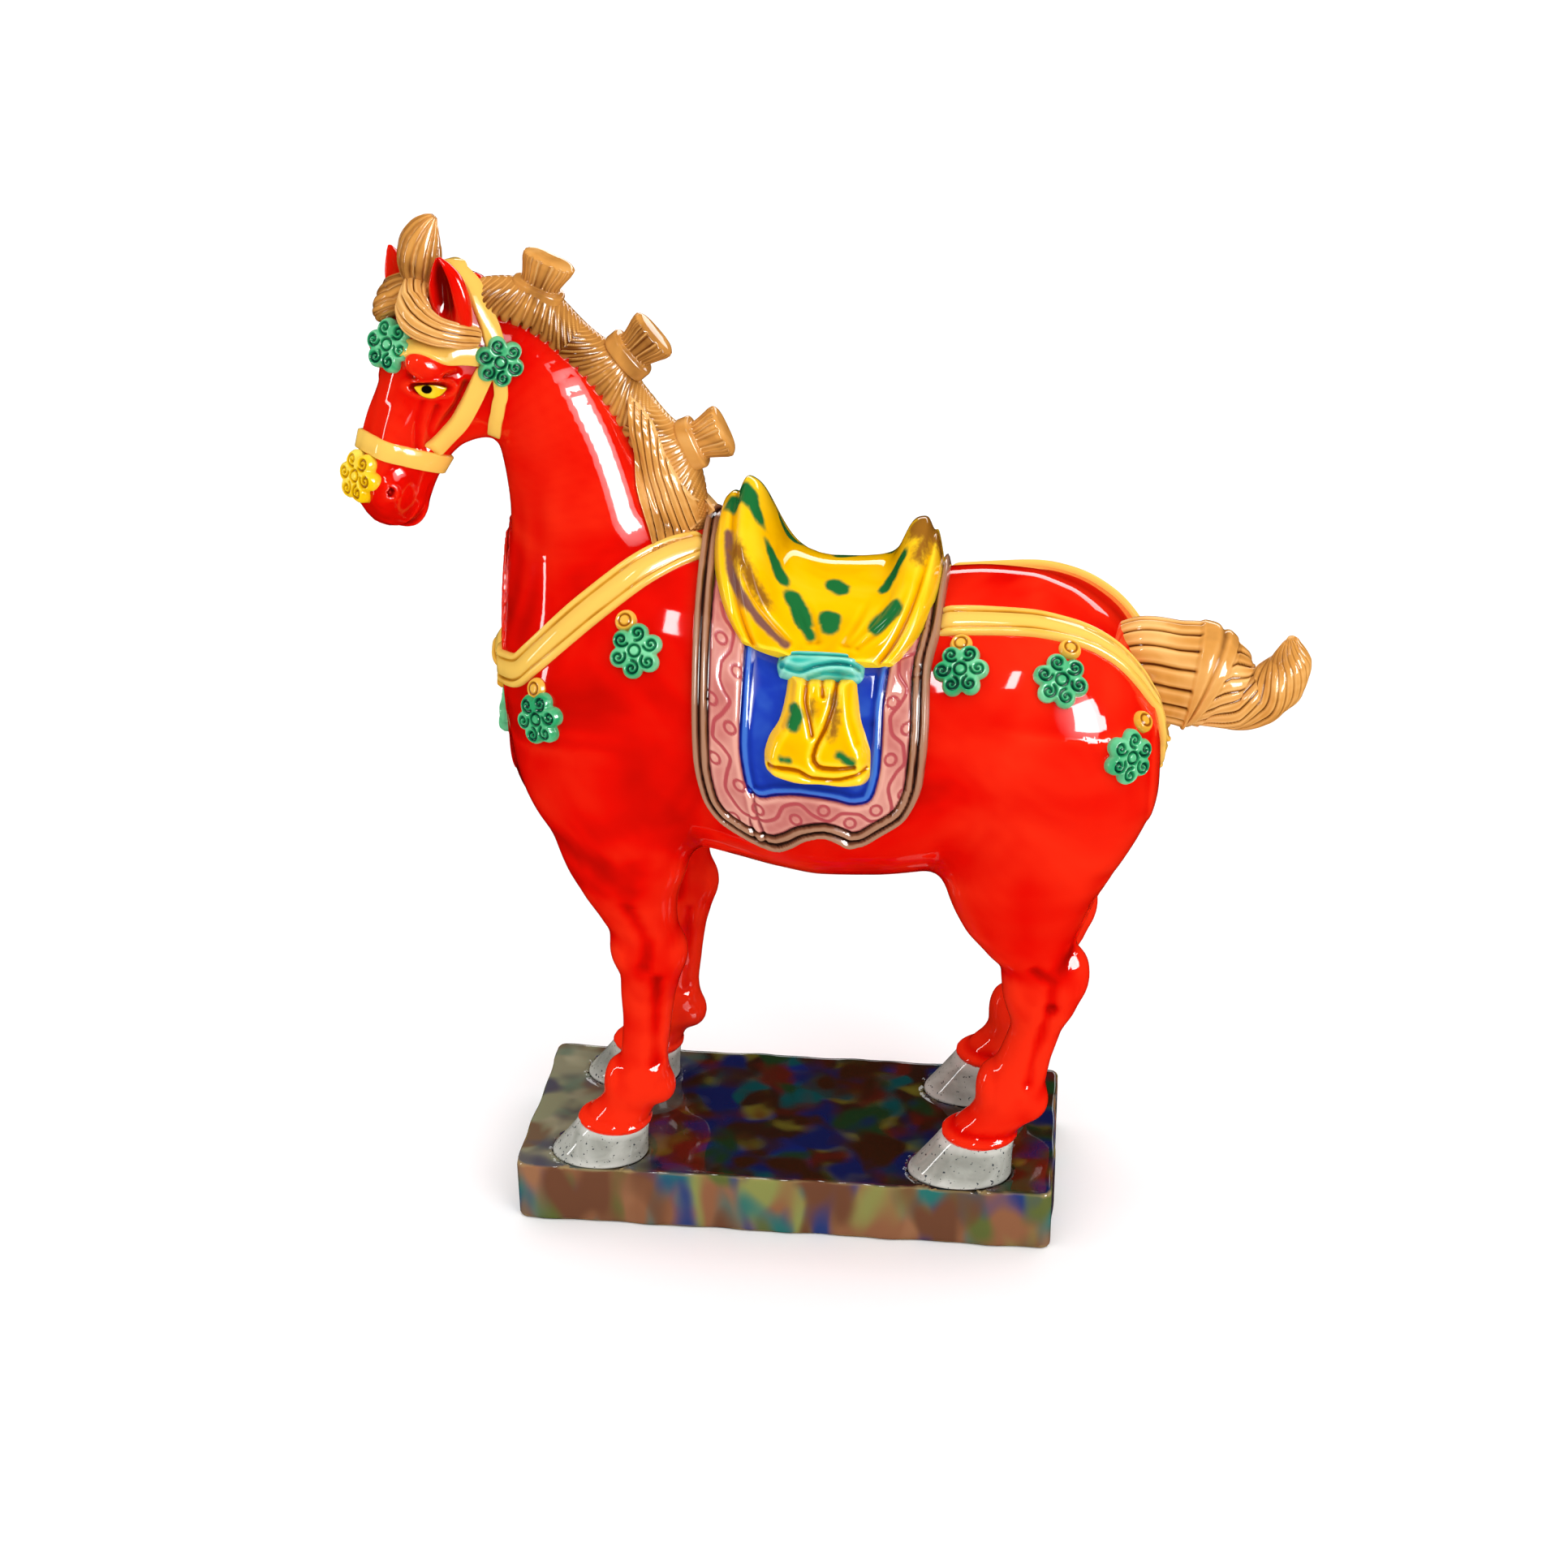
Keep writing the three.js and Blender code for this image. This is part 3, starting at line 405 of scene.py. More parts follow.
def makeMottledGlaze(size):
    material, tree, place = newGlaze("mottledGlaze")
    low, high = size["edge"]

    def dabs(colours, stretch, first):
        colour = toLinear(colours[0])
        for k, paint in enumerate(colours[1:]):
            moved = addNode(tree, "ShaderNodeMapping",
                            {"Scale": stretch, "Location": (0.31 * (k + first), 0.17 * k, 0)},
                            {"Vector": place})
            noise = addNode(tree, "ShaderNodeTexNoise",
                            {"Scale": 1 / (size["size"] * mm), "Detail": 0.7, "Distortion": 0.3},
                            {"Vector": moved.outputs["Vector"]})
            amount = addNode(tree, "ShaderNodeMapRange",
                             {"From Min": low, "From Max": high, "interpolation_type": "SMOOTHSTEP"},
                             {"Value": noise.outputs["Fac"]})
            colour = mixBy(tree, amount.outputs["Result"], colour, toLinear(paint))
        return colour

    lidColour = dabs(size["lid"], (1, 1, 1), 0)
    # Paler dabs, painted as a reflection of a light on the lid's left part
    reflectionDabs = dabs(size["pale"], (1, 1, 1), 5)
    wallColour = dabs(size["wall"], (1, 1, size["drawn"]), 2)
    facing = addNode(tree, "ShaderNodeNewGeometry").outputs["Normal"]
    rise = addNode(tree, "ShaderNodeSeparateXYZ", links={"Vector": facing}).outputs["Z"]
    lid = addNode(tree, "ShaderNodeMapRange", {"From Min": 0.5, "From Max": 0.9},
                  {"Value": rise}).outputs["Result"]
    noise = addNode(tree, "ShaderNodeTexNoise", {"Scale": 1 / (18 * mm)}, {"Vector": place})
    along = addNode(tree, "ShaderNodeSeparateXYZ", links={"Vector": place}).outputs["X"]
    wobble = addNode(tree, "ShaderNodeMath", {"operation": "MULTIPLY_ADD", 1: 0.05},
                     {0: noise.outputs["Fac"], 2: along})
    # The lid's left part, with a wavering edge, where the painted reflection lies
    left = addNode(tree, "ShaderNodeMapRange", {"From Min": -0.006, "From Max": -0.036},
                   {"Value": wobble.outputs[0]}).outputs["Result"]
    colour = mixBy(tree, lid, wallColour, mixBy(tree, left, lidColour, reflectionDabs))
    hollow = addNode(tree, "ShaderNodeAttribute", {"attribute_name": "hollow"}).outputs["Fac"]
    worn = addNode(tree, "ShaderNodeMapRange", {"From Min": -0.5, "From Max": -1.1}, {"Value": hollow})
    colour = mixBy(tree, worn.outputs["Result"], colour, toLinear(size["worn"]))
    dark = addNode(tree, "ShaderNodeMapRange", {"From Min": 0.25, "From Max": 0.8}, {"Value": hollow})
    colour = mixBy(tree, dark.outputs["Result"], colour, toLinear(size["dark"]))
    fire(tree, place, colour)
    return material


mottledGlaze = makeMottledGlaze(mottles)
print("glazes mixed")


# The body's forms. A place on one is a distance along it and an angle round it, 0 out of the near
# side and 90 straight up.

barrel = {
    "rows": [
        (-71.4, 157, 142, 5), (-69.8, 168, 132, 15.5), (-65, 177, 119.8, 24.8), (-56.5, 184.5, 111.8, 31.8),
        (-45, 190, 109, 36), (-31, 193, 108.3, 38.4), (-20, 192, 107, 39.2), (-11, 187, 105.2, 39.7),
        (0, 180.8, 102.8, 40), (11, 178, 101.2, 40), (24, 178.2, 101.6, 39.8), (38, 179.8, 103.4, 39.3),
        (50, 180.8, 105.6, 38.7), (61, 180.2, 108, 38.3), (71, 177.2, 110.5, 36.8), (80, 171.8, 114.5, 33.3),
        (87, 164.2, 119.5, 27.3), (92, 155.6, 126.5, 19), (94.8, 147, 135, 7),
    ],
    "powers": (1.88, 2.3),
    "perDegree": 0.69,
}
skull = {
    "poll": (-80.8, -4, 249),
    "turn": 42,
    "pitch": 62.8,
    "roll": 1.5,
    "rows": [
        (-8, 2, -6, 4), (-5, 5.6, -9, 8), (0, 8.4, -14, 10.6), (7.5, 10.2, -19, 12.2), (15, 10.6, -23.6, 12),
        (23, 9.4, -23.6, 10.7), (30, 8.4, -18, 9.1), (37, 7.6, -14, 8.1), (44, 6.9, -13, 7.8),
        (49, 5.7, -13, 8), (53, 3.4, -11, 7.4), (55.8, 0.4, -8.4, 5.4), (57, -1.8, -5.8, 2.2),
    ],
    "powers": (2.2, 2.2),
}


def headAxes(size):
    turn, pitch = math.radians(size["turn"]), math.radians(size["pitch"])
    ahead = np.array([-math.cos(turn), -math.sin(turn), 0])
    up = np.array([0, 0, 1.0])
    along = ahead * math.cos(pitch) - up * math.sin(pitch)
    brow = ahead * math.sin(pitch) + up * math.cos(pitch)
    cheek = np.array([math.sin(turn), -math.cos(turn), 0])
    spin = Matrix.Rotation(math.radians(-size["roll"]), 3, Vector(along))
    return np.array([along, np.array(spin @ Vector(brow)), np.array(spin @ Vector(cheek))])


headTurn = headAxes(skull)
poll = np.array(skull["poll"], float)
onHead = lambda points: np.asarray(points, float) @ headTurn + poll
inHead = lambda points: (np.asarray(points, float) - poll) @ headTurn.T
onBarrel = lambda points: np.asarray(points, float)[..., [0, 2, 1]] * [1, -1, 1]
inBarrel = lambda points: np.asarray(points, float)[..., [0, 2, 1]] * [1, 1, -1]


# A barrel-like form from rows of a place along it, top, bottom and half width
def makeForm(size, place):
    at = smoothRows(size["rows"])
    ends = (size["rows"][0][0], size["rows"][-1][0])

    def reachTo(u, cosine, sine):
        top, bottom, half = np.moveaxis(at(u), -1, 0)
        power = np.where(sine > 0, *size["powers"])
        thick = (np.abs(cosine) / half) ** power + (2 * np.abs(sine) / (top - bottom)) ** power
        return (top + bottom) / 2, np.maximum(thick, 1e-12) ** (-1 / power)

    def point(u, degrees, lift=0.0):
        u, degrees = np.broadcast_arrays(np.asarray(u, float), np.asarray(degrees, float))
        cosine, sine = np.cos(np.radians(degrees)), np.sin(np.radians(degrees))
        middle, reach = reachTo(u, cosine, sine)
        reach = reach + lift
        return place(np.stack([u, middle + reach * sine, reach * cosine], axis=-1))

    def side(u, v, w):
        middle = np.mean(at(u)[..., :2], axis=-1)
        radial = np.maximum(np.hypot(v - middle, w), 1e-6)
        _, reach = reachTo(u, w / radial, (v - middle) / radial)
        return radial - reach

    def gap(local):
        u, v, w = np.moveaxis(local, -1, 0)
        here = side(u, v, w)
        slope = (side(u + 0.3, v, w) - side(u - 0.3, v, w)) / 0.6
        past = np.maximum(ends[0] - u, u - ends[1])
        return np.maximum(here / np.sqrt(1 + slope * slope), past)

    return point, gap


barrelPoint, barrelGap = makeForm(barrel, onBarrel)
skullPoint, skullGap = makeForm(skull, onHead)


# Clay: each lump gives the distance to its skin, and lumps run into each other softly

def runTogether(a, b, soft):
    near = np.clip(soft - np.abs(a - b), 0, None) / soft
    return np.minimum(a, b) - near * near * soft / 4


def ballGap(points, centre, sizes):
    local = points - np.asarray(centre, float)
    away = np.linalg.norm(local, axis=-1)
    share = np.linalg.norm(local / np.asarray(sizes, float), axis=-1)
    return away - away / np.maximum(share, 1e-4)


# A rounded limb through rows of x, y, z, half across and half deep, with nearly flat ends
def limbGap(rows, sides, count=36, dome=0.35):
    stations = smoothPath(rows, count)
    centres = stations[:, :3]
    ahead = unit(np.gradient(centres, axis=0))
    across = np.array([sides(t) for t in np.linspace(0, 1, count)])
    across = unit(across - ahead * np.sum(across * ahead, axis=1, keepdims=True))
    deep = np.cross(ahead, across)

    def gap(points):
        best = np.full(len(points), 40.0)
        for i in range(count - 1):
            step = centres[i + 1] - centres[i]
            t = np.clip((points - centres[i]) @ step / (step @ step), 0, 1)
            offset = points - centres[i] - t[:, None] * step
            turned = [axes[i] + t[:, None] * (axes[i + 1] - axes[i]) for axes in (across, deep, ahead)]
            wide = stations[i, 3] + t * (stations[i + 1, 3] - stations[i, 3])
            long = stations[i, 4] + t * (stations[i + 1, 4] - stations[i, 4])
            past = ((t <= 0) & (i == 0)) | ((t >= 1) & (i == count - 2))
            cap = np.where(past, np.minimum(wide, long) * dome, long)
            a, b, c = (np.sum(offset * way, axis=1) for way in turned)
            share = np.sqrt((a / wide) ** 2 + (b / long) ** 2 + (c / cap) ** 2)
            away = np.linalg.norm(offset, axis=1)
            best = np.minimum(best, away - away / np.maximum(share, 1e-4))
        return best

    return gap


def pathDistance(points, path):
    best = np.full(len(points), 1e3)
    for a, b in zip(path[:-1], path[1:]):
        step = b - a
        t = np.clip((points - a) @ step / (step @ step), 0, 1)
        best = np.minimum(best, np.linalg.norm(points - a - t[:, None] * step, axis=1))
    return best


neck = {
    "rows": [
        (-44, 0, 150, 24, 27), (-46, 0, 165, 23, 26), (-47.2, 0, 180, 20.5, 23.2),
        (-49.4, -0.3, 196, 17.5, 19.8), (-52.6, -0.6, 210, 14.6, 17.6), (-57.4, -1, 223, 12.4, 15.8),
        (-64.4, -1.6, 233, 9.6, 14),
        (-70.6, -2.6, 237.8, 8.4, 10.2), (-75, -3.4, 240.4, 7.2, 7.6),
    ],
    "soft": 9,
}


def neckAcross(t):
    turn = math.radians(skull["turn"]) * max(0, (t - 0.45) / 0.55)
    return (math.sin(turn), -math.cos(turn), 0)


neckGap = limbGap(neck["rows"], neckAcross)

# Legs: height, x, half fore and aft, y on the near side, half across
foreleg = {
    "rows": [
        (140, -44, 20.5, -21, 12), (128, -43, 20, -22, 13.5), (116, -40.6, 17.6, -22.5, 13.6),
        (107, -39.6, 15.8, -22, 12.3), (99, -39, 12.6, -21.5, 10.8), (91, -37.2, 9.9, -21, 9),
        (83, -35, 8.3, -20.5, 8), (75, -34.8, 8.1, -20.3, 7.7), (67, -35.8, 7.2, -20.3, 6.3),
        (58, -36.4, 6.4, -20.3, 5.6), (50, -37.3, 6.2, -20.5, 5.6), (43, -38.4, 7.4, -20.8, 6.8),
        (38, -39.8, 8, -21, 7), (34, -42.1, 7.8, -21, 6.6), (30, -44.9, 8.6, -21, 7.5),
        (26.5, -46.3, 9, -21, 8.2),
    ],
    "coronet": {"place": (-46.2, 28.3), "sizes": (10, 9, 2.3)},
    "hoof": {"top": 27.8, "x": (-46.2, -50.6), "long": (9.4, 13), "wide": (8.4, 9.8)},
    "lumps": [
        {"at": (-28.4, 80.5), "sizes": (3.2, 4.6, 4.6), "soft": 4},
        {"at": (-41.4, 81.5), "sizes": (3.2, 5.8, 5.2), "soft": 5},
        {"at": (-32.8, 38.6), "sizes": (3.4, 4.6, 4), "soft": 3.4},
        {"at": (-45.4, 41), "sizes": (2.6, 4.6, 4.6), "soft": 4},
    ],
    "grooves": [
        {"path": [(-32.2, 75), (-33.2, 62), (-33.8, 48)], "depth": 0.9, "wide": 1.8},
        {"path": [(-38, 98), (-34, 87), (-35, 79)], "depth": 0.7, "wide": 2.2},
    ],
}
hindLeg = {
    "rows": [
        (150, 68, 20, -20, 15), (136, 68.6, 21.6, -21, 16), (122, 65.6, 22.2, -22, 15.8),
        (110, 62.6, 21, -22, 14.4), (101, 61.6, 18.2, -21.5, 12.4), (93, 62, 15, -21, 10.2),
        (86.5, 63.8, 11.6, -20.8, 8.7), (80.5, 67.2, 9.9, -20.5, 7.8), (75, 68.5, 9.7, -20.5, 7.6),
        (69, 67.8, 8.6, -20.5, 6.9), (62, 66.1, 6.7, -20.5, 5.9), (55, 63.9, 6.9, -20.6, 5.8),
        (48, 61.4, 8.1, -20.8, 6.6), (42, 60.3, 8.4, -21, 7.2), (37, 58.3, 8.8, -21, 7),
        (33, 54.6, 8.8, -21, 7), (29, 52.2, 9.2, -21, 8.2),
    ],
    "coronet": {"place": (52.2, 30.3), "sizes": (10.1, 9, 2.3)},
    "hoof": {"top": 29.8, "x": (52.2, 47.2), "long": (9.5, 13.8), "wide": (8.3, 9.7)},
    "lumps": [
        {"at": (76, 80.5), "sizes": (3.4, 3.8, 6.2), "soft": 4},
        {"at": (61.7, 76), "sizes": (3.6, 5, 7), "soft": 5},
        {"at": (66.2, 40.4), "sizes": (3.8, 4.6, 4.4), "soft": 3.4},
        {"at": (54.2, 45), "sizes": (2.6, 4.6, 5.2), "soft": 4},
    ],
    "grooves": [
        {"path": [(70.2, 72), (66.6, 60), (64.8, 49)], "depth": 0.9, "wide": 1.8},
        {"path": [(72, 84), (76.5, 96), (81.5, 112)], "depth": 0.7, "wide": 3},
        {"path": [(66, 84), (70.5, 80), (70, 72)], "depth": 0.7, "wide": 1.8},
    ],
}
stances = [
    {"leg": foreleg, "side": 1, "shift": (0, 0)},
    {"leg": foreleg, "side": -1, "shift": (2.5, 2)},
    {"leg": hindLeg, "side": 1, "shift": (0, 0)},
    {"leg": hindLeg, "side": -1, "shift": (1.5, 2)},
]


def legGap(stance):
    leg, side, (back, inward) = stance["leg"], stance["side"], stance["shift"]
    at = smoothRows(leg["rows"])

    def ring(points, lift):
        x, long, y, wide = np.moveaxis(at(points[:, 2] + lift), -1, 0)
        a, b = points[:, 0] - x - back, points[:, 1] - side * (y + inward)
        share = ((np.abs(a) / long) ** 2.15 + (np.abs(b) / wide) ** 2.15) ** (1 / 2.15)
        away = np.hypot(a, b)
        return away - away / np.maximum(share, 1e-4)

    def gap(points):
        here = ring(points, 0)
        slope = (ring(points, 0.3) - ring(points, -0.3)) / 0.6
        past = np.maximum(leg["rows"][-1][0] - points[:, 2], points[:, 2] - leg["rows"][0][0])
        made = np.maximum(here / np.sqrt(1 + slope * slope), past)
        middle = side * (-20.8 + inward)
        for lump in leg["lumps"]:
            centre = (lump["at"][0] + back, middle, lump["at"][1])
            made = runTogether(made, ballGap(points, centre, lump["sizes"]), lump["soft"])
        x, z = leg["coronet"]["place"]
        crown = ballGap(points, (x + back, side * (-21 + inward), z), leg["coronet"]["sizes"])
        made = runTogether(made, crown, 1.6)
        onSides = np.abs(points[:, 1] - middle) > 2
        for groove in leg["grooves"]:
            drawn = np.array([(x + back, z) for x, z in groove["path"]])
            away = pathDistance(points[:, [0, 2]], drawn)
            made = made + groove["depth"] * np.exp(-((away / groove["wide"]) ** 2)) * onSides
        return made

    return gap


# Muscle lumps and creases on the trunk, for the near side and mirrored
muscles = [
    {"centre": (-46.6, -19.5, 142), "sizes": (17, 16, 26), "soft": 8},
    {"centre": (66, -20, 140), "sizes": (25, 17, 30), "soft": 12},
    {"centre": (-60, -8, 132), "sizes": (8.6, 9, 15), "soft": 8},
]
creases = [
    {"path": [(-63, -27, 121), (-52, -34, 114.5), (-40, -38, 110.5), (-30, -39, 113), (-24.5, -40, 124)],
     "depth": 1.4, "wide": 4},
    {"path": [(44, -38, 130), (46, -37, 118), (46, -30, 108)], "depth": 0.6, "wide": 7},
    {"path": [(-65, -11, 208), (-67, -13, 192), (-68, -14, 176), (-69, -14, 160)], "depth": 0.7, "wide": 3.2},
    {"path": [(-60, -15, 210), (-61.6, -18, 192), (-62.6, -20, 176), (-64.6, -20, 162)],
     "depth": 0.7, "wide": 3.0},
    {"path": [(-56, -15, 214), (-55, -20, 196), (-57, -23, 178)], "depth": -0.6, "wide": 4.5},
]

# Head: places along the face from the poll, out of the brow, and out of the cheek
face = {
    "lumps": [
        {"at": (17, -12, 6.6), "sizes": (13, 12.5, 6.2), "soft": 4},
        {"at": (16.6, 4.2, 8.8), "sizes": (3.9, 6.6, 4.3), "soft": 2.6},
        {"at": (48.6, 1, 5.4), "sizes": (4.4, 4, 3.4), "soft": 3},
        {"at": (51.4, -8.4, 3.4), "sizes": (3.8, 3, 4.2), "soft": 2.4},
        {"at": (33, 4.2, 4.6), "sizes": (12, 2.8, 2.4), "soft": 3},
    ],
    "grooves": [
        {"path": [(44.5, -9.6, 7.6), (49, -9, 8.2), (53, -8, 7), (57.4, -6.4, 3)], "depth": 1.1, "wide": 0.9},
        {"path": [(25.6, 2.6, 9), (31, 1.5, 8.6), (36, -0.8, 8.2)], "depth": 1.0, "wide": 0.9},
        {"path": [(25.2, -1.0, 9.8), (30, -1.6, 9), (35, -3.2, 8.2)], "depth": 1.0, "wide": 0.9},
        {"path": [(17.3, -4.6, 12), (23.1, -4.8, 10.8), (29.3, -4, 9.3), (34, -3.4, 8.6)],
         "depth": 0.9, "wide": 1.0},
        {"path": [(20.2, 8, 7.2), (18.6, 5.4, 9.6), (17.2, 1.4, 12), (15.6, -1.6, 12.6)],
         "depth": 0.9, "wide": 0.8},
    ],
    "eye": {"at": (21.2, 2.4), "half": (3.9, 1.9), "tilt": 22},
    "nostril": {"at": (48.1, 2.2, 8.8), "sizes": (1.1, 0.8, 1.9)},
}


def headGap(points):
    local = inHead(points)
    mirrored = local.copy()
    mirrored[:, 2] = np.abs(mirrored[:, 2])
    made = skullGap(local)
    for lump in face["lumps"]:
        made = runTogether(made, ballGap(mirrored, lump["at"], lump["sizes"]), lump["soft"])
    for groove in face["grooves"]:
        away = pathDistance(mirrored, np.array(groove["path"], float))
        made = made + groove["depth"] * np.exp(-((away / groove["wide"]) ** 2))
    eye = face["eye"]
    tilt = math.radians(eye["tilt"])
    a, b = mirrored[:, 0] - eye["at"][0], mirrored[:, 1] - eye["at"][1]
    long, high = b * math.cos(tilt) + a * math.sin(tilt), a * math.cos(tilt) - b * math.sin(tilt)
    share = np.sqrt((long / eye["half"][0]) ** 2 + (high / eye["half"][1]) ** 2)
    onCheek = ease(mirrored[:, 2], 4, 6)
    made = made + onCheek * (1.1 * np.exp(-(share / 1.02) ** 6) - 0.6 * hump(share, 1.3, 0.22))
    nostril = ballGap(mirrored, face["nostril"]["at"], face["nostril"]["sizes"])
    return np.maximum(made - 0.4 * hump(nostril, 0.6, 0.7), -nostril)


def near(points, low, high):
    return np.all((points > low) & (points < high), axis=1)


# The whole red horse without its trappings
def horseGap(points):
    made = np.full(len(points), 30.0)
    clays = [
        ((-84, -56, 90), (104, 56, 204), lambda p: barrelGap(inBarrel(p)), 1),
        ((-98, -40, 138), (-14, 40, 264), neckGap, neck["soft"]),
    ]
    for stance in stances:
        x = -40 if stance["leg"] is foreleg else 62
        y = -21 * stance["side"]
        clays.append(((x - 38, y - 30, 20), (x + 40, y + 30, 160), legGap(stance), 6))
    for muscle in muscles:
        for side in (1, -1):
            centre = np.array(muscle["centre"]) * [1, side, 1]
            reach = np.array(muscle["sizes"]) + 14
            clay = lambda p, c=centre, s=muscle["sizes"]: ballGap(p, c, s)
            clays.append((centre - reach, centre + reach, clay, muscle["soft"]))
    clays.append(((-125, -50, 184), (-50, 40, 270), headGap, 5))
    for low, high, clay, soft in clays:
        chosen = near(points, low, high)
        if chosen.any():
            made[chosen] = runTogether(made[chosen], clay(points[chosen]), soft)
    mirrored = points.copy()
    mirrored[:, 1] = -np.abs(mirrored[:, 1])
    for crease in creases:
        path = np.array(crease["path"], float)
        reach = crease["wide"] * 3
        chosen = near(mirrored, path.min(axis=0) - reach, path.max(axis=0) + reach)
        spots = mirrored[chosen]
        ends = np.minimum(*(np.linalg.norm(spots - path[k], axis=1) for k in (0, -1)))
        fade = 1 - np.exp(-((ends / 11) ** 2))
        made[chosen] += crease["depth"] * fade * np.exp(-((pathDistance(spots, path) / crease["wide"]) ** 2))
    return made


def slopeOf(gap, points, step=0.25):
    out = np.empty_like(points)
    for k in range(3):
        shift = np.zeros(3)
        shift[k] = step
        out[:, k] = (gap(points + shift) - gap(points - shift)) / (2 * step)
    return out


# Moves points onto the skin where a gap is nothing, and gives the way out of it there
def settle(gap, points, rounds=3):
    points = np.array(points, float)
    for _ in range(rounds):
        slope = slopeOf(gap, points)
        size = np.maximum(np.sum(slope * slope, axis=1), 0.05)
        step = gap(points) / size
        points -= np.clip(step, -2, 2)[:, None] * slope
    return points, unit(slopeOf(gap, points))


# A net of quads over the skin of a clay, from its values on a grid of cells
def netOver(gap, low, high, step):
    low, high = np.asarray(low, float), np.asarray(high, float)
    shape = np.ceil((high - low) / step).astype(int) + 1
    axes = [low[k] + step * np.arange(shape[k]) for k in range(3)]
    values = np.empty(shape, np.float32)
    for i, x in enumerate(axes[0]):
        y, z = np.meshgrid(axes[1], axes[2], indexing="ij")
        slab = np.column_stack([np.full(y.size, x), y.ravel(), z.ravel()])
        values[i] = gap(slab).reshape(y.shape)
    inside = values < 0
    corners = [(a, b, c) for a in (0, 1) for b in (0, 1) for c in (0, 1)]
    count = np.zeros(shape - 1, np.int8)
    for a, b, c in corners:
        count += inside[a:shape[0] - 1 + a, b:shape[1] - 1 + b, c:shape[2] - 1 + c]
    cells = np.argwhere((count > 0) & (count < 8))
    number = np.full(shape - 1, -1)
    number[tuple(cells.T)] = np.arange(len(cells))
    total, hits = np.zeros((len(cells), 3)), np.zeros(len(cells))
    for a in corners:
        for axis in range(3):
            if a[axis]:
                continue
            b = tuple(1 if k == axis else a[k] for k in range(3))
            va = values[tuple((cells + a).T)]
            vb = values[tuple((cells + b).T)]
            crossed = (va < 0) != (vb < 0)
            t = np.where(crossed, va / np.where(crossed, va - vb, 1), 0)[:, None]
            spot = np.array(a) + t * (np.array(b) - np.array(a))
            total += np.where(crossed[:, None], spot, 0)
            hits += crossed
    points = low + step * (cells + total / np.maximum(hits, 1)[:, None])
    faces = []
    for axis in range(3):
        one, two = [(1, 2), (2, 0), (0, 1)][axis]
        size = list(shape)
        start = [slice(None)] * 3
        end = [slice(None)] * 3
        start[axis], end[axis] = slice(0, size[axis] - 1), slice(1, size[axis])
        flips = inside[tuple(start)] != inside[tuple(end)]
        spots = np.argwhere(flips)
        ok = (spots[:, one] > 0) & (spots[:, two] > 0)
        ok &= (spots[:, one] < size[one] - 1) & (spots[:, two] < size[two] - 1)
        spots = spots[ok]
        e1, e2 = np.zeros(3, int), np.zeros(3, int)
        e1[one], e2[two] = 1, 1
        quad = [number[tuple((spots - shift).T)] for shift in (e1 + e2, e2, 0 * e1, e1)]
        quad = np.column_stack(quad)
        out = ~inside[tuple(spots.T)]
        quad[out] = quad[out][:, ::-1]
        faces.append(quad)
    return points, np.vstack(faces)


# Evens the net out and lays it exactly on the skin
def relax(points, faces, gap, rounds):
    count = len(points)
    a = faces.ravel()
    b = np.roll(faces, -1, axis=1).ravel()
    degree = np.maximum(np.bincount(a, minlength=count) + np.bincount(b, minlength=count), 1)
    for _ in range(rounds):
        even = np.empty_like(points)
        for k in range(3):
            even[:, k] = (np.bincount(a, points[b, k], count) + np.bincount(b, points[a, k], count)) / degree
        points, _ = settle(gap, 0.4 * points + 0.6 * even, 2)
    return points


# Splits every quad's triangles once more where the chosen points lie, without opening any edge
def refine(points, triangles, chosen):
    edges = np.sort(triangles[:, [0, 1, 1, 2, 2, 0]].reshape(-1, 2), axis=1)
    edges, which = np.unique(edges, axis=0, return_inverse=True)
    which = which.reshape(-1, 3)
    split = chosen[edges].all(axis=1)
    number = np.where(split, len(points) + np.cumsum(split) - 1, -1)
    points = np.vstack([points, points[edges[split]].mean(axis=1)])
    halves = number[which]
    count = (halves >= 0).sum(axis=1)
    out = [triangles[count == 0]]
    t, h = triangles[count == 3], halves[count == 3]
    out += [np.column_stack(c) for c in ((t[:, 0], h[:, 0], h[:, 2]), (h[:, 0], t[:, 1], h[:, 1]),
                                         (h[:, 2], h[:, 1], t[:, 2]), (h[:, 0], h[:, 1], h[:, 2]))]
    for k in range(3):
        a, b, c = k, (k + 1) % 3, (k + 2) % 3
        one = (count == 1) & (halves[:, a] >= 0)
        t, h = triangles[one], halves[one]
        out += [np.column_stack((t[:, a], h[:, a], t[:, c])), np.column_stack((h[:, a], t[:, b], t[:, c]))]
        two = (count == 2) & (halves[:, c] < 0)
        t, h = triangles[two], halves[two]
        out += [np.column_stack((h[:, a], t[:, b], h[:, b])), np.column_stack((t[:, a], h[:, a], h[:, b])),
                np.column_stack((t[:, a], h[:, b], t[:, c]))]
    return points, np.vstack(out)


def toTriangles(quads):
    return np.vstack([quads[:, [0, 1, 2]], quads[:, [0, 2, 3]]])


print("clay measured")

# The net over the horse is split finer round the head
redHorse = {
    "low": (-124, -47, 22), "high": (100, 47, 264), "cell": 1.2,
    "fineCentre": (24, -3, 0), "fineSizes": (42, 25.2, 25.2),
}


def makeRedHorse(size):
    points, faces = netOver(horseGap, size["low"], size["high"], size["cell"])
    points = relax(points, faces, horseGap, 2)
    share = np.linalg.norm((inHead(points) - size["fineCentre"]) / size["fineSizes"], axis=1)
    points, triangles = refine(points, toTriangles(faces), share < 1)
    points, normals = settle(horseGap, points, 2)
    obj = makeObject("redHorse", points, triangles)
    markHollows(obj, 14, 0.45)
    obj.data.normals_split_custom_set_from_vertices(normals.tolist())
    print("red horse:", len(triangles), "triangles")
    return keep(obj, "horse", redGlaze)


makeRedHorse(redHorse)


# Plinth and hooves

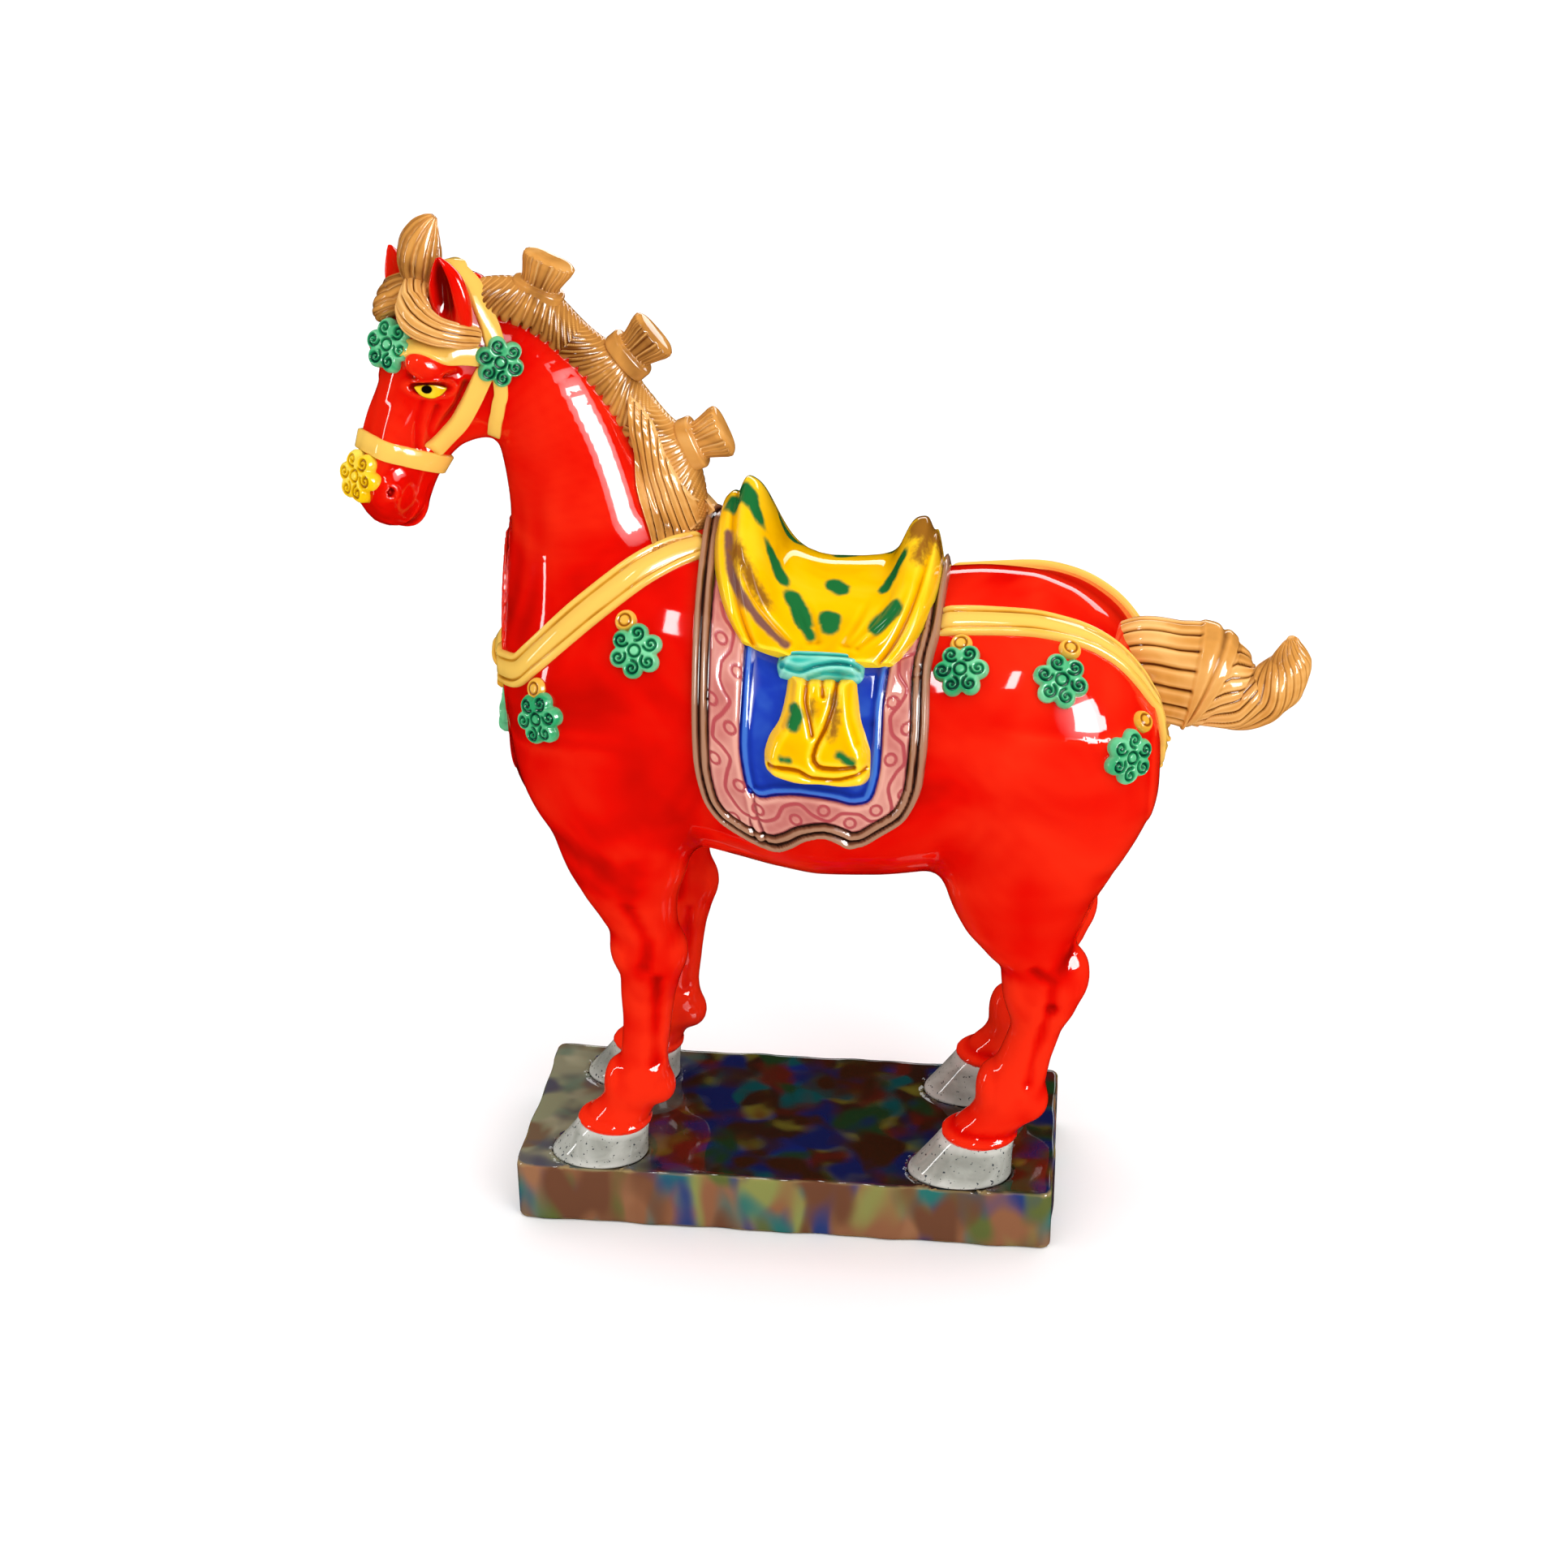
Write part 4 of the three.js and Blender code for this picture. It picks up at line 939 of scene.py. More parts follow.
plinth = {
    "half": (72.3, 31.3), "height": 17.6, "edge": 1.1, "corner": 2.4, "waver": 0.25,
    "seat": {"depth": 0.8, "clear": 0.5, "gap": 0.3, "lip": 0.15},
    "cell": 0.85,
}


def hoofRing(size, z, grow=0.0):
    t = (size["top"] - z) / (size["top"] - plinth["height"])
    x, long, wide = (size[k][0] + (size[k][1] - size[k][0]) * t for k in ("x", "long", "wide"))
    return x, long + grow, wide + grow


def plinthGap(points):
    x, y, z = points.T
    wave = plinth["waver"] * (np.sin(x * 0.21 + y * 0.13) + 0.6 * np.sin(x * 0.47 - y * 0.38 + 1))
    a = np.abs(x) - plinth["half"][0] - wave + plinth["corner"]
    b = np.abs(y) - plinth["half"][1] - wave + plinth["corner"]
    wall = np.hypot(np.maximum(a, 0), np.maximum(b, 0)) + np.minimum(np.maximum(a, b), 0) - plinth["corner"]
    lid = np.maximum(z - plinth["height"], -z)
    edge = plinth["edge"]
    both = np.hypot(np.maximum(wall + edge, 0), np.maximum(lid + edge, 0))
    made = both + np.minimum(np.maximum(wall, lid) + edge, 0) - edge
    for stance in stances:
        hoof, side, (back, inward) = stance["leg"]["hoof"], stance["side"], stance["shift"]
        middle, long, wide = hoofRing(hoof, z, plinth["seat"]["clear"])
        u, v = x - middle - back, y - side * (-21 + inward)
        share = np.hypot(u / long, v / wide)
        away = np.hypot(u, v)
        bottom = plinth["height"] - plinth["seat"]["depth"]
        seat = np.maximum(away - away / np.maximum(share, 1e-4), bottom - z)
        made = np.maximum(made + plinth["seat"]["lip"] * hump(seat, 0.9, 0.7), -seat)
    return made


def makePlinth(size):
    points, faces = netOver(plinthGap, (-75, -34, -1.2), (75, 34, 19), size["cell"])
    points = relax(points, faces, plinthGap, 1)
    obj = makeObject("mottledPlinth", points, faces)
    markHollows(obj, 4, 0.3)
    return keep(obj, "plinth", mottledGlaze)


# Down a hoof, the share of its height and how far its wall swells
hoofLevels = [(0.0, -2.6), (0.0, -0.9), (0.015, -0.25), (0.05, 0.0), (0.25, -0.12), (0.5, -0.15),
              (0.75, -0.05), (0.93, 0.1), (0.985, -0.1), (1.0, -0.5)]


def makeHoof(stance, index):
    hoof, side, (back, inward) = stance["leg"]["hoof"], stance["side"], stance["shift"]
    bottom = plinth["height"] - plinth["seat"]["depth"] + plinth["seat"]["gap"]
    rings = []
    for t, grow in hoofLevels:
        z = hoof["top"] + (bottom - hoof["top"]) * t
        middle, long, wide = hoofRing(hoof, z, grow)
        angles = np.linspace(0, 2 * math.pi, 72, endpoint=False)
        c, s = np.cos(angles), np.sin(angles)
        bend = lambda v: np.sign(v) * np.abs(v) ** (2 / 2.1)
        rings.append(np.column_stack([middle + back + long * bend(c), side * (-21 + inward) + wide * bend(s),
                                      np.full(len(angles), z)]))
    obj = loft("hoof%d" % (index + 1), np.array(rings))
    markHollows(obj, 3, 0.5)
    return keep(obj, "horse", hoofGlaze)


makePlinth(plinth)
for index, stance in enumerate(stances):
    makeHoof(stance, index)
print("plinth and hooves set")


# Relief worked on the barrel: a net of places with a height over each, closed by a keel inside the horse

def flat(places):
    return np.asarray(places, float) * [1, barrel["perDegree"]]


# Distance to a closed line, positive inside it
def insideBy(spots, outline):
    loop = np.vstack([outline, outline[:1]])
    best = np.full(len(spots), 1e6)
    inside = np.zeros(len(spots), bool)
    x, y = spots.T
    for a, b in zip(loop[:-1], loop[1:]):
        step = b - a
        t = np.clip(((spots - a) @ step) / max(step @ step, 1e-9), 0, 1)
        best = np.minimum(best, np.linalg.norm(spots - a - t[:, None] * step, axis=1))
        if a[1] != b[1]:
            cross = ((a[1] > y) != (b[1] > y)) & (x < (b[0] - a[0]) * (y - a[1]) / (b[1] - a[1]) + a[0])
            inside ^= cross
    return np.where(inside, best, -best)


def smoothLine(places, count=80):
    return smoothPath(flat(places), count)


# The points round the edge of a net, in order
def netRim(rows, columns):
    rim = list(range(columns)) + [i * columns + columns - 1 for i in range(1, rows)]
    rim += [(rows - 1) * columns + j for j in range(columns - 2, -1, -1)]
    return rim + [i * columns for i in range(rows - 2, 0, -1)]


def closeByKeel(rows, columns):
    faces = netFaces(rows, columns, wrap=False)
    rim = netRim(rows, columns)
    keel = rows * columns
    faces += [[rim[(k + 1) % len(rim)], rim[k], keel] for k in range(len(rim))]
    return faces


# A closed piece of relief from a grid of points and a keel under them
def relief(name, grid, keel, marks=None):
    rows, columns = grid.shape[:2]
    points = np.vstack([grid.reshape(-1, 3), [keel]])
    faces = closeByKeel(rows, columns)
    if signedVolume(points - points.mean(axis=0), faces) < 0:
        faces = [f[::-1] for f in faces]
    full = {k: np.append(np.asarray(v).ravel(), np.min(v)) for k, v in (marks or {}).items()}
    return makeObject(name, points, faces, full)


# Places over a patch of the barrel
def patchPlaces(across, around, cell):
    xs = np.arange(across[0], across[1] + cell / 2, cell)
    degrees = np.arange(around[0], around[1], cell / barrel["perDegree"])
    x, deg = np.meshgrid(xs, degrees, indexing="ij")
    return x, deg


# The far side repeats the near one
def nearSide(deg):
    return np.where(deg > 90, 180 - deg, deg)


blanket = {
    "across": (-23, 43), "around": (-36, 216), "cell": 0.44, "lift": 1.9,
    "outline": [(-20.6, 90), (-20.1, 76), (-19.8, 62.7), (-19.3, 27), (-19, -2.8), (-17.3, -17.5),
                (-13.2, -25.5), (-7.5, -28.6), (-3, -29.6), (1.5, -29), (5.8, -25.4), (9.5, -21),
                (13, -19.6), (16.4, -21.2), (19.5, -23.4), (22.6, -22.9), (27.5, -18.8), (34.2, -12.1),
                (37.6, 0.3), (38.6, 20.9), (38.4, 38.8), (40.2, 58.3), (40.8, 79.8), (41, 90)],
    "panel": [(-7, 90), (-7, 47), (-7, 33.3), (-7.1, 24.2), (-7.3, 9.6), (-6.3, -3), (-4.9, -8.6),
              (-2.4, -8.6), (2, -5.8), (8.7, -3.4), (15.2, -4.4), (20.6, -6.2), (24.2, -5.2), (26.2, 0),
              (27.3, 8.8), (27.5, 17.9), (27.5, 26), (28.3, 41), (29.1, 51.1), (29.5, 90)],
    "wave": [(-13.1, 53.7), (-12.2, 49.5), (-9.6, 44.7), (-10, 39.3), (-12.1, 33), (-12.3, 28.4),
             (-11.2, 24.5), (-9.6, 21.6), (-11.2, 16.8), (-13.3, 12.4), (-13.6, 7.6), (-11.1, 5),
             (-9.3, 1.7), (-10.2, -3.9), (-10.7, -9.2), (-9.1, -13.4), (-5.9, -17.2), (-2.3, -17.2),
             (1.5, -14.5), (3.6, -8.7), (7.3, -6.3), (10.9, -10), (14.5, -12.1), (18.2, -8.9),
             (21.8, -9.2), (25.1, -12.1), (28.8, -12.2), (30, -7.2), (29.2, 0), (31, 5.6), (33, 9),
             (32.6, 14.6), (29.7, 19.5), (29.2, 24.5), (31.5, 29.2), (32.9, 33.7), (30.7, 40.2),
             (30.6, 44.8), (33.4, 46.6), (35.4, 48.6), (35.2, 52.3), (32.8, 55.9)],
    "rings": [(-12.4, 41.6), (-8.2, 32.6), (-14, 20), (-9.4, 12.7), (-13.2, -0.2), (-7.2, -6.7), (-9, -21.1),
              (-2.8, -13.2), (6.5, -12.8), (13.4, -8), (19.8, -12.8), (26.2, -7.8), (33, -2.7), (29.6, 10.4),
              (33.4, 20.4), (29.6, 29.9), (35, 40), (32, 51.7), (36.3, 58.3)],
    "ringRadius": 1.35,
    "pleat": [(-5.2, -8), (-4.4, -16), (-2.6, -25)],
}


def makeBlanket(size):
    x, deg = patchPlaces(size["across"], size["around"], size["cell"])
    spots = np.column_stack([x.ravel(), nearSide(deg).ravel() * barrel["perDegree"]])
    top = [(-20.6, 120), (41, 120)]
    outline = np.vstack([smoothLine(size["outline"], 150), flat(top[::-1])])
    panelLine = np.vstack([smoothLine(size["panel"], 110), flat([(29.5, 120), (-7, 120)])])
    rim = insideBy(spots, outline)
    panel = insideBy(spots, panelLine)
    wave = pathDistance(spots, smoothLine(size["wave"], 240))
    rings = np.min([np.abs(np.linalg.norm(spots - ring, axis=1) - size["ringRadius"])
                    for ring in flat(size["rings"])], axis=0)
    pleat = pathDistance(spots, smoothLine(size["pleat"], 20))
    line = np.minimum(wave, rings + 0.1)
    lift = size["lift"] - 0.24 * np.exp(-(line / 0.4) ** 2)
    lift += 0.35 * np.exp(-(pleat / 0.7) ** 2) - 0.5 * hump(pleat, 1.3, 0.5) * (spots[:, 0] > -5)
    edge = ease(panel, -0.5, 0.5)
    lift += edge * (-0.9 + 0.7 * hump(panel, 1.4, 0.8)) - 0.3 * hump(panel, -0.1, 0.5)
    roll = 1 - ease(rim, 3.9, 4.7)
    curled = 1 + 0.5 * hump(spots[:, 0], 1.5, 4) * (spots[:, 1] < -12)
    curled += 0.5 * hump(spots[:, 0], 19, 3) * (spots[:, 1] < -8)
    rolled = 1.2 * hump(rim, 1.2, 0.85) * curled + 0.9 * hump(rim, 3.2, 0.7) - 0.35 * hump(rim, 2.25, 0.5)
    lift += roll * rolled
    lift -= 0.4 * hump(rim, 4.5, 0.4)
    lift = lift * ease(rim, -0.3, 0.9) - 3.4 * (1 - ease(rim, -0.9, 0.4))
    grid = barrelPoint(x, deg, lift.reshape(x.shape))
    shaped = {"rim": rim, "panel": panel, "line": line}
    obj = relief("saddleBlanket", grid, (10, 0, 140), {k: v.reshape(x.shape) for k, v in shaped.items()})
    markHollows(obj, 6, 0.22)
    return keep(obj, "horse", blanketGlaze)


makeBlanket(blanket)
print("blanket laid")

saddle = {
    "knot": 43, "reach": (-17.2, 39.3), "knotReach": (0.5, 20.9), "lift": 3.6,
    "pommel": {"lift": 14.6, "at": 0.16}, "cantle": {"lift": 11.8, "at": 0.9},
    "cells": ((210, 240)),
    "folds": [
        {"path": [(-9.8, 68.4), (-5.5, 57.5), (3.5, 47.8)], "depth": 1.1, "wide": 1.1},
        {"path": [(-3.4, 76), (2.6, 66.9), (8.5, 50.7)], "depth": 0.8, "wide": 1.2},
        {"path": [(4.7, 74.5), (8.2, 63.1), (10.4, 51.1)], "depth": 0.7, "wide": 1.1},
        {"path": [(22.5, 70.6), (19.9, 58.4), (17.1, 50.1)], "depth": 0.7, "wide": 1.1},
        {"path": [(29.1, 72.2), (23.3, 57.8), (18.5, 49.7)], "depth": 0.9, "wide": 1.2},
        {"path": [(34.2, 72.6), (28.6, 58.7), (20.6, 48.4)], "depth": 1.0, "wide": 1.1},
    ],
    "green": [
        {"path": [(-12.2, 84.5), (-10, 84.4), (-8.2, 83.4)], "half": 2.6},
        {"path": [(-9, 83.8), (-7.4, 82.4), (-6, 80.6)], "half": 1.9},
        {"path": [(-2, 76.6), (-0.6, 74.2), (0.4, 72)], "half": 2.1},
        {"path": [(3.6, 66), (5.4, 62), (6.6, 58)], "half": 2.6},
        {"path": [(7.4, 55.6), (8.6, 53)], "half": 1.5},
        {"path": [(12.8, 76.6), (14.6, 74.2)], "half": 2.5},
        {"path": [(12.4, 60.4), (13.6, 59.6), (13.2, 57)], "half": 2.5},
        {"path": [(21, 108.7), (24.6, 108.4)], "half": 1.1},
        {"path": [(21.2, 94), (24.4, 93.5)], "half": 1.1},
        {"path": [(29, 79), (27.4, 76.3), (26, 73)], "half": 2.1},
        {"path": [(28.4, 60.6), (26.2, 58.7), (24.8, 56.6)], "half": 2.6},
    ],
    "brown": [
        {"path": [(-10.6, 69.4), (-8, 64.8), (-4.9, 60.6), (-2.4, 58)], "half": 1.7},
        {"path": [(38, 94), (36.2, 89), (33.6, 85.9)], "half": 3.4},
        {"path": [(36.5, 88), (34.6, 80), (33.6, 76)], "half": 1.7},
    ],
    # A painted shade along the groove between the front rim and the pommel
    "grooveShade": [{"path": [(-12.6, 74), (-11.4, 64.4), (-8, 56.4), (-3, 50.9), (2.9, 46.8)], "half": 1.15}],
}


# How far inside any of the painted strokes each spot lies
def strokeInside(spots, strokes):
    best = np.full(len(spots), -50.0)
    for stroke in strokes:
        best = np.maximum(best, stroke["half"] - pathDistance(spots, smoothLine(stroke["path"], 14)))
    return best


# A blunter hump
def knob(value, middle, spread):
    return np.exp(-np.abs((value - middle) / spread) ** 2.7)


def makeSaddle(size):
    knot, rows, columns = size["knot"], *size["cells"]
    s = np.concatenate([[0, 0], np.linspace(0, 1, columns), [1, 1]])
    deg = np.concatenate([[knot, knot], np.linspace(knot, 180 - knot, rows), [180 - knot] * 2])
    s, deg = np.meshgrid(s, deg, indexing="ij")
    u = 1.12 - np.sqrt(((deg - 90) / (90 - knot)) ** 2 + 0.12 ** 2)
    spread = 1 - (1 - u ** 0.6) ** 2
    front = size["knotReach"][0] + (size["reach"][0] - size["knotReach"][0]) * spread
    rear = size["knotReach"][1] + (size["reach"][1] - size["knotReach"][1]) * spread
    x = front + (rear - front) * s
    edge = np.sqrt(ease(s, -0.004, 0.035) * ease(1 - s, -0.004, 0.035))
    pommel = size["pommel"]["lift"] * u ** 1.5 * knob(s, size["pommel"]["at"], 0.1)
    pommel = pommel + 2.2 * (1 - u) * hump(s, 0.27, 0.09)
    cantle = size["cantle"]["lift"] * u ** 1.5 * knob(s, size["cantle"]["at"], 0.1)
    cantle = cantle + 2 * (1 - u) * hump(s, 0.76, 0.09)
    rim = 2.6 * u ** 2 * hump(s, 0.04, 0.04)
    groove = -2.0 * hump(s, 0.095, 0.02) - 1.9 * hump(s, 0.955 - 0.07 * (1 - u), 0.018)
    spots = np.column_stack([x.ravel(), nearSide(deg).ravel() * barrel["perDegree"]])
    aboveKnot = ease(spots[:, 1], 44 * barrel["perDegree"], 52 * barrel["perDegree"])
    belowSeat = ease(spots[:, 1], 72 * barrel["perDegree"], 56 * barrel["perDegree"])
    folds = np.zeros(len(spots))
    for fold in size["folds"]:
        away = pathDistance(spots, smoothLine(fold["path"], 16))
        folds -= fold["depth"] * (0.55 + 0.45 * aboveKnot) * belowSeat * np.exp(-(away / fold["wide"]) ** 2)
    lift = edge * (size["lift"] + pommel + cantle + rim + groove + folds.reshape(s.shape))
    lift[[0, -1]] = -2.5
    lift[:, [0, -1]] = -2.5
    marks = {key: strokeInside(spots, size[key]).reshape(s.shape) for key in ("green", "brown", "grooveShade")}
    obj = relief("saddle", barrelPoint(x, deg, lift), (10, 0, 150), marks)
    markHollows(obj, 10, 0.35)
    return keep(obj, "horse", saddleGlaze)


makeSaddle(saddle)
print("saddle shaped")

# The cloth tied under the saddle hangs down from its knot on each side
tassel = {
    "across": (-3, 27), "around": (-1.5, 40), "cell": 0.34, "lift": 5.2,
    "outline": [(4.2, 39), (4, 34.7), (3.6, 29), (2.6, 22), (0, 14.2), (-0.9, 8), (-0.6, 4), (1.6, 1.6),
                (6, 1.2), (12.3, 1.8), (18.6, 1.1), (22.6, 1.6), (24.6, 5.4), (24.6, 11.8), (23.5, 17.7),
                (21.9, 24.3), (21.1, 31.1), (20.5, 36.8), (20.4, 39)],
    "folds": [
        {"path": [(8.8, 37), (8.7, 30.5), (10, 23.1), (10.7, 19)], "depth": 1.3, "wide": 0.75},
        {"path": [(16, 37), (15.6, 30.2), (13.9, 21.7), (11.7, 15.4), (11.1, 11.8), (12.9, 8.8), (16.9, 8.4),
                  (21, 8.9)], "depth": 1.9, "wide": 0.7},
        {"path": [(12.4, 37), (12.9, 31.6)], "depth": 0.9, "wide": 0.6},
        {"path": [(5.6, 36), (5.4, 29), (3.6, 20)], "depth": 0.5, "wide": 0.9},
        {"path": [(19, 36), (19.4, 27), (21.6, 17)], "depth": 0.5, "wide": 0.9},
        {"path": [(0.2, 5.8), (3.1, 6.6), (7, 7.2), (11, 5.4), (16.2, 5), (21, 6.3), (24.4, 8.4)],
         "depth": 1.5, "wide": 0.65},
        {"path": [(2, 4), (10, 3.4), (18, 2.6), (23, 4)], "depth": -0.7, "wide": 1.3},
    ],
    "green": [
        {"path": [(6.2, 26.4), (7, 24.6), (6, 21.4)], "half": 1.7},
        {"path": [(3.4, 9.8), (5.4, 10.2)], "half": 0.8},
        {"path": [(17.4, 13.2), (18.9, 12), (20.6, 10.8)], "half": 1.2},
    ],
    "brown": [
        {"path": [(10.4, 29), (10.6, 25)], "half": 1},
        {"path": [(15.4, 31), (16.3, 25.9), (15.5, 19.6)], "half": 1.3},
    ],
    "grooveShade": [],
}
knot = {
    "across": (-1, 25), "around": (33.5, 51), "cell": 0.34, "lift": 6.6,
    "outline": [(2, 36.4), (7.5, 36.3), (14.6, 36.9), (20.6, 37.2), (21.9, 39.4), (22, 43.6), (21.4, 46.2),
                (17.3, 47.9), (10.7, 48.3), (4.6, 46.9), (2, 44.6), (1.3, 40)],
    "folds": [
        {"path": [(1.6, 42.2), (7, 44.6), (12, 45.2), (22, 44.6)], "depth": 1.1, "wide": 0.6},
        {"path": [(1.4, 39.4), (6, 38.8), (11, 41), (16, 42), (22, 41)], "depth": 1.2, "wide": 0.6},
        {"path": [(9, 37.6), (14, 39.4), (22, 38.6)], "depth": 0.7, "wide": 0.5},
    ],
}


def makeBundle(name, size, side, glaze, base):
    x, deg = patchPlaces(size["across"], size["around"], size["cell"])
    spots = np.column_stack([x.ravel(), deg.ravel() * barrel["perDegree"]])
    within = insideBy(spots, smoothPath(np.vstack([flat(size["outline"]), flat(size["outline"][:1])]), 120))
    dome = np.sqrt(np.clip(ease(within, -0.4, 3.2), 0, 1))
    lift = base + (size["lift"] - base) * dome
    for fold in size["folds"]:
        away = pathDistance(spots, smoothLine(fold["path"], 24))
        lift = lift - fold["depth"] * np.exp(-(away / fold["wide"]) ** 2) * ease(within, 0, 1)
    lift -= (base + 1.5) * (1 - ease(within, -1.3, -0.1))
    painted = [key for key in ("green", "brown", "grooveShade") if key in size]
    marks = {key: strokeInside(spots, size[key]).reshape(x.shape) for key in painted}
    grid = barrelPoint(x, deg, lift.reshape(x.shape)) * [1, side, 1]
    obj = relief(name, grid, (10, -12 * side, 142), marks)
    markHollows(obj, 10, 0.35)
    return keep(obj, "horse", glaze)


for side, where in bothSides:
    makeBundle(where + "HangingCloth", tassel, side, saddleGlaze, 0.6)
    makeBundle(where + "Knot", knot, side, tealGlaze, 0.8)
print("hanging cloths tied")


# Ears: leaves of clay cupped toward the brow. Rows run from inside the skull to the tip: place along,
# brow and cheek, half across, half thick, and how deep the cup is.
ear = {
    "rows": [(7, 1, 9.4, 3.4, 2, 0), (4, 3.4, 10.6, 4.6, 2, 0.8), (0.4, 6.4, 10.8, 5, 1.9, 3),
             (-3.2, 8.9, 10.4, 4.3, 1.7, 3.2), (-6.2, 11, 9.6, 2.6, 1.2, 2),
             (-8.3, 12.4, 8.9, 0.6, 0.5, 0.2)],
    "facing": (0.05, 0.86, 0.5),
    "farShift": (1.9, 1.8, -1.1),
    "power": 2.5, "cupAt": 0.16, "cupWide": 0.42, "back": 0.6, "cupDeepest": 3.2,
}


def makeEar(side, where):
    rows = smoothPath(ear["rows"], 64)
    if side < 0:
        rows = rows * [1, 1, -1, 1, 1, 1] + [*ear["farShift"], 0, 0, 0]
    centres = rows[:, :3]
    ahead = unit(np.gradient(centres, axis=0))
    facing = np.array(ear["facing"]) * [1, 1, side]
    facing = unit(facing - ahead * (ahead @ facing)[:, None])
    across = np.cross(ahead, facing)
    turn = np.linspace(0, 2 * math.pi, 72, endpoint=False)
    bend = lambda v: np.sign(v) * np.abs(v) ** (2 / ear["power"])
    share = -bend(np.cos(turn))
    wide, thick, cup = (rows[:, k:k + 1] for k in (3, 4, 5))
    swell = bend(np.sin(turn))
    hollow = cup * np.exp(-np.abs((share * side - ear["cupAt"]) / ear["cupWide"]) ** 3) * (swell > 0)
    rise = np.where(swell > 0, thick * swell - hollow * np.abs(swell) ** 0.4,
                    (thick + ear["back"] * cup) * swell)
    rings = centres[:, None] + (wide * share)[..., None] * across[:, None] + rise[..., None] * facing[:, None]
    # The cup is marked as hollow for the glaze: partly glaze pooling, partly painted shade in the cup; the
    # rest of the ear runs paler as a painted lit rim
    obj = loft(where + "Ear", onHead(rings), {"hollow": 2.6 * hollow / ear["cupDeepest"] - 0.45})
    return keep(obj, "horse", redGlaze)


for side, where in bothSides:
    makeEar(side, where)
print("ears set")


# Straps: each is a line laid on the clay, then swept with its grooved section

def strapTree():
    tree, given = newTree("strap", {"Section": "Object", "Glaze": "Material"})
    line = addNode(tree, "GeometryNodeMeshToCurve", links={"Mesh": given["Geometry"]})
    out = addNode(tree, "GeometryNodeInputNamedAttribute", {"data_type": "FLOAT_VECTOR", "Name": "out"})
    turned = addNode(tree, "GeometryNodeSetCurveNormal", {"mode": "FREE"},
                     {"Curve": line.outputs["Curve"], "Normal": out.outputs["Attribute"]})
    shape = addNode(tree, "GeometryNodeObjectInfo", links={"Object": given["Section"]})
    edge = addNode(tree, "GeometryNodeMeshToCurve", links={"Mesh": shape.outputs["Geometry"]})
    swept = addNode(tree, "GeometryNodeCurveToMesh", {"Fill Caps": True},
                    {"Curve": turned.outputs["Curve"], "Profile Curve": edge.outputs["Curve"]})
    real = addNode(tree, "GeometryNodeRealizeInstances", links={"Geometry": swept.outputs["Mesh"]})
    glazed = addNode(tree, "GeometryNodeSetMaterial", links={"Geometry": real.outputs["Geometry"],
                                                             "Material": given["Glaze"]})
    addNode(tree, "NodeGroupOutput", links={"Geometry": glazed.outputs["Geometry"]})
    return tree


strapSweep = strapTree()


# The outline of a strap cut across, with grooves at, half wide and deep
def sectionObject(name, half, lift, grooves):
    marks = [(-half, -1.4), (-half, lift * 0.45), (-half * 0.93, lift * 0.85), (-half * 0.84, lift)]
    for groove in grooves:
        at, wide, deep = groove
        marks += [(at - wide, lift), (at - wide * 0.4, lift - deep * 0.85), (at, lift - deep),
                  (at + wide * 0.4, lift - deep * 0.85), (at + wide, lift)]
    marks += [(half * 0.84, lift), (half * 0.93, lift * 0.85), (half, lift * 0.45), (half, -1.4)]
    mesh = bpy.data.meshes.new(name)
    count = len(marks)
    edges = [(k, (k + 1) % count) for k in range(count)]
    mesh.from_pydata([(y * mm, x * mm, 0) for x, y in marks], edges, [])
    return placeMesh(name, mesh)


# Lays a line of places down onto the clay and gives the way out of it
def layOn(points, closed, rounds=6):
    for _ in range(rounds):
        points, out = settle(horseGap, points, 2)
        before, after = np.roll(points, 1, axis=0), np.roll(points, -1, axis=0)
        eased = 0.5 * points + 0.25 * (before + after)
        if not closed:
            eased[0], eased[-1] = points[0], points[-1]
        points = eased
    for _ in range(6):
        smooth = 0.5 * out + 0.25 * (np.roll(out, 1, axis=0) + np.roll(out, -1, axis=0))
        if not closed:
            smooth[0], smooth[-1] = out[0], out[-1]
        out = unit(smooth)
    return points, out


def makeStrap(name, points, section, closed=False, rounds=6):
    points, out = layOn(points, closed, rounds)
    if not closed:  # both ends are tucked into the clay
        steps = np.arange(len(points))
        ends = np.minimum(steps, steps[::-1])
        points = points - 2.6 * ((1 - ease(ends, 0, 5))[:, None]) * out
    mesh = bpy.data.meshes.new(name)
    edges = [(k, k + 1) for k in range(len(points) - 1)] + ([(len(points) - 1, 0)] if closed else [])
    mesh.from_pydata((points * mm).tolist(), edges, [])
    facing = mesh.attributes.new("out", "FLOAT_VECTOR", "POINT")
    facing.data.foreach_set("vector", out.astype(np.float32).ravel())
    obj = placeMesh(name, mesh)
    runTree(obj, strapSweep, {"Section": section, "Glaze": ochreGlaze})
    obj.data.shade_smooth()
    markHollows(obj, 2, 0.2)
    return keep(obj, "horse", ochreGlaze)


# A path and its like on the far side, hung lower there by the drop
def mirroredPath(path, middle, drop=0.0):
    far = [(u, 2 * middle - degrees + drop * float(ease(degrees, 0, 50))) for u, degrees in reversed(path)]
    return path + far


harness = {
    "half": 4.3, "lift": 1.4, "grooves": [(-2.4, 0.6, 0.7), (2.4, 0.6, 0.7)], "farDrop": 9,
    "collar": [(-17, 78), (-24, 71.5), (-31, 64), (-39, 55.5), (-47, 47.5), (-54, 40), (-60.3, 32.5),
               (-65.5, 26), (-69.4, 27), (-71, 60)],
    "breeching": [(37, 61.6), (48, 60.5), (56, 59.4), (67, 57.3), (76.4, 55.5), (85, 50), (91, 38), (94, 12),
                  (94.8, -50)],
}
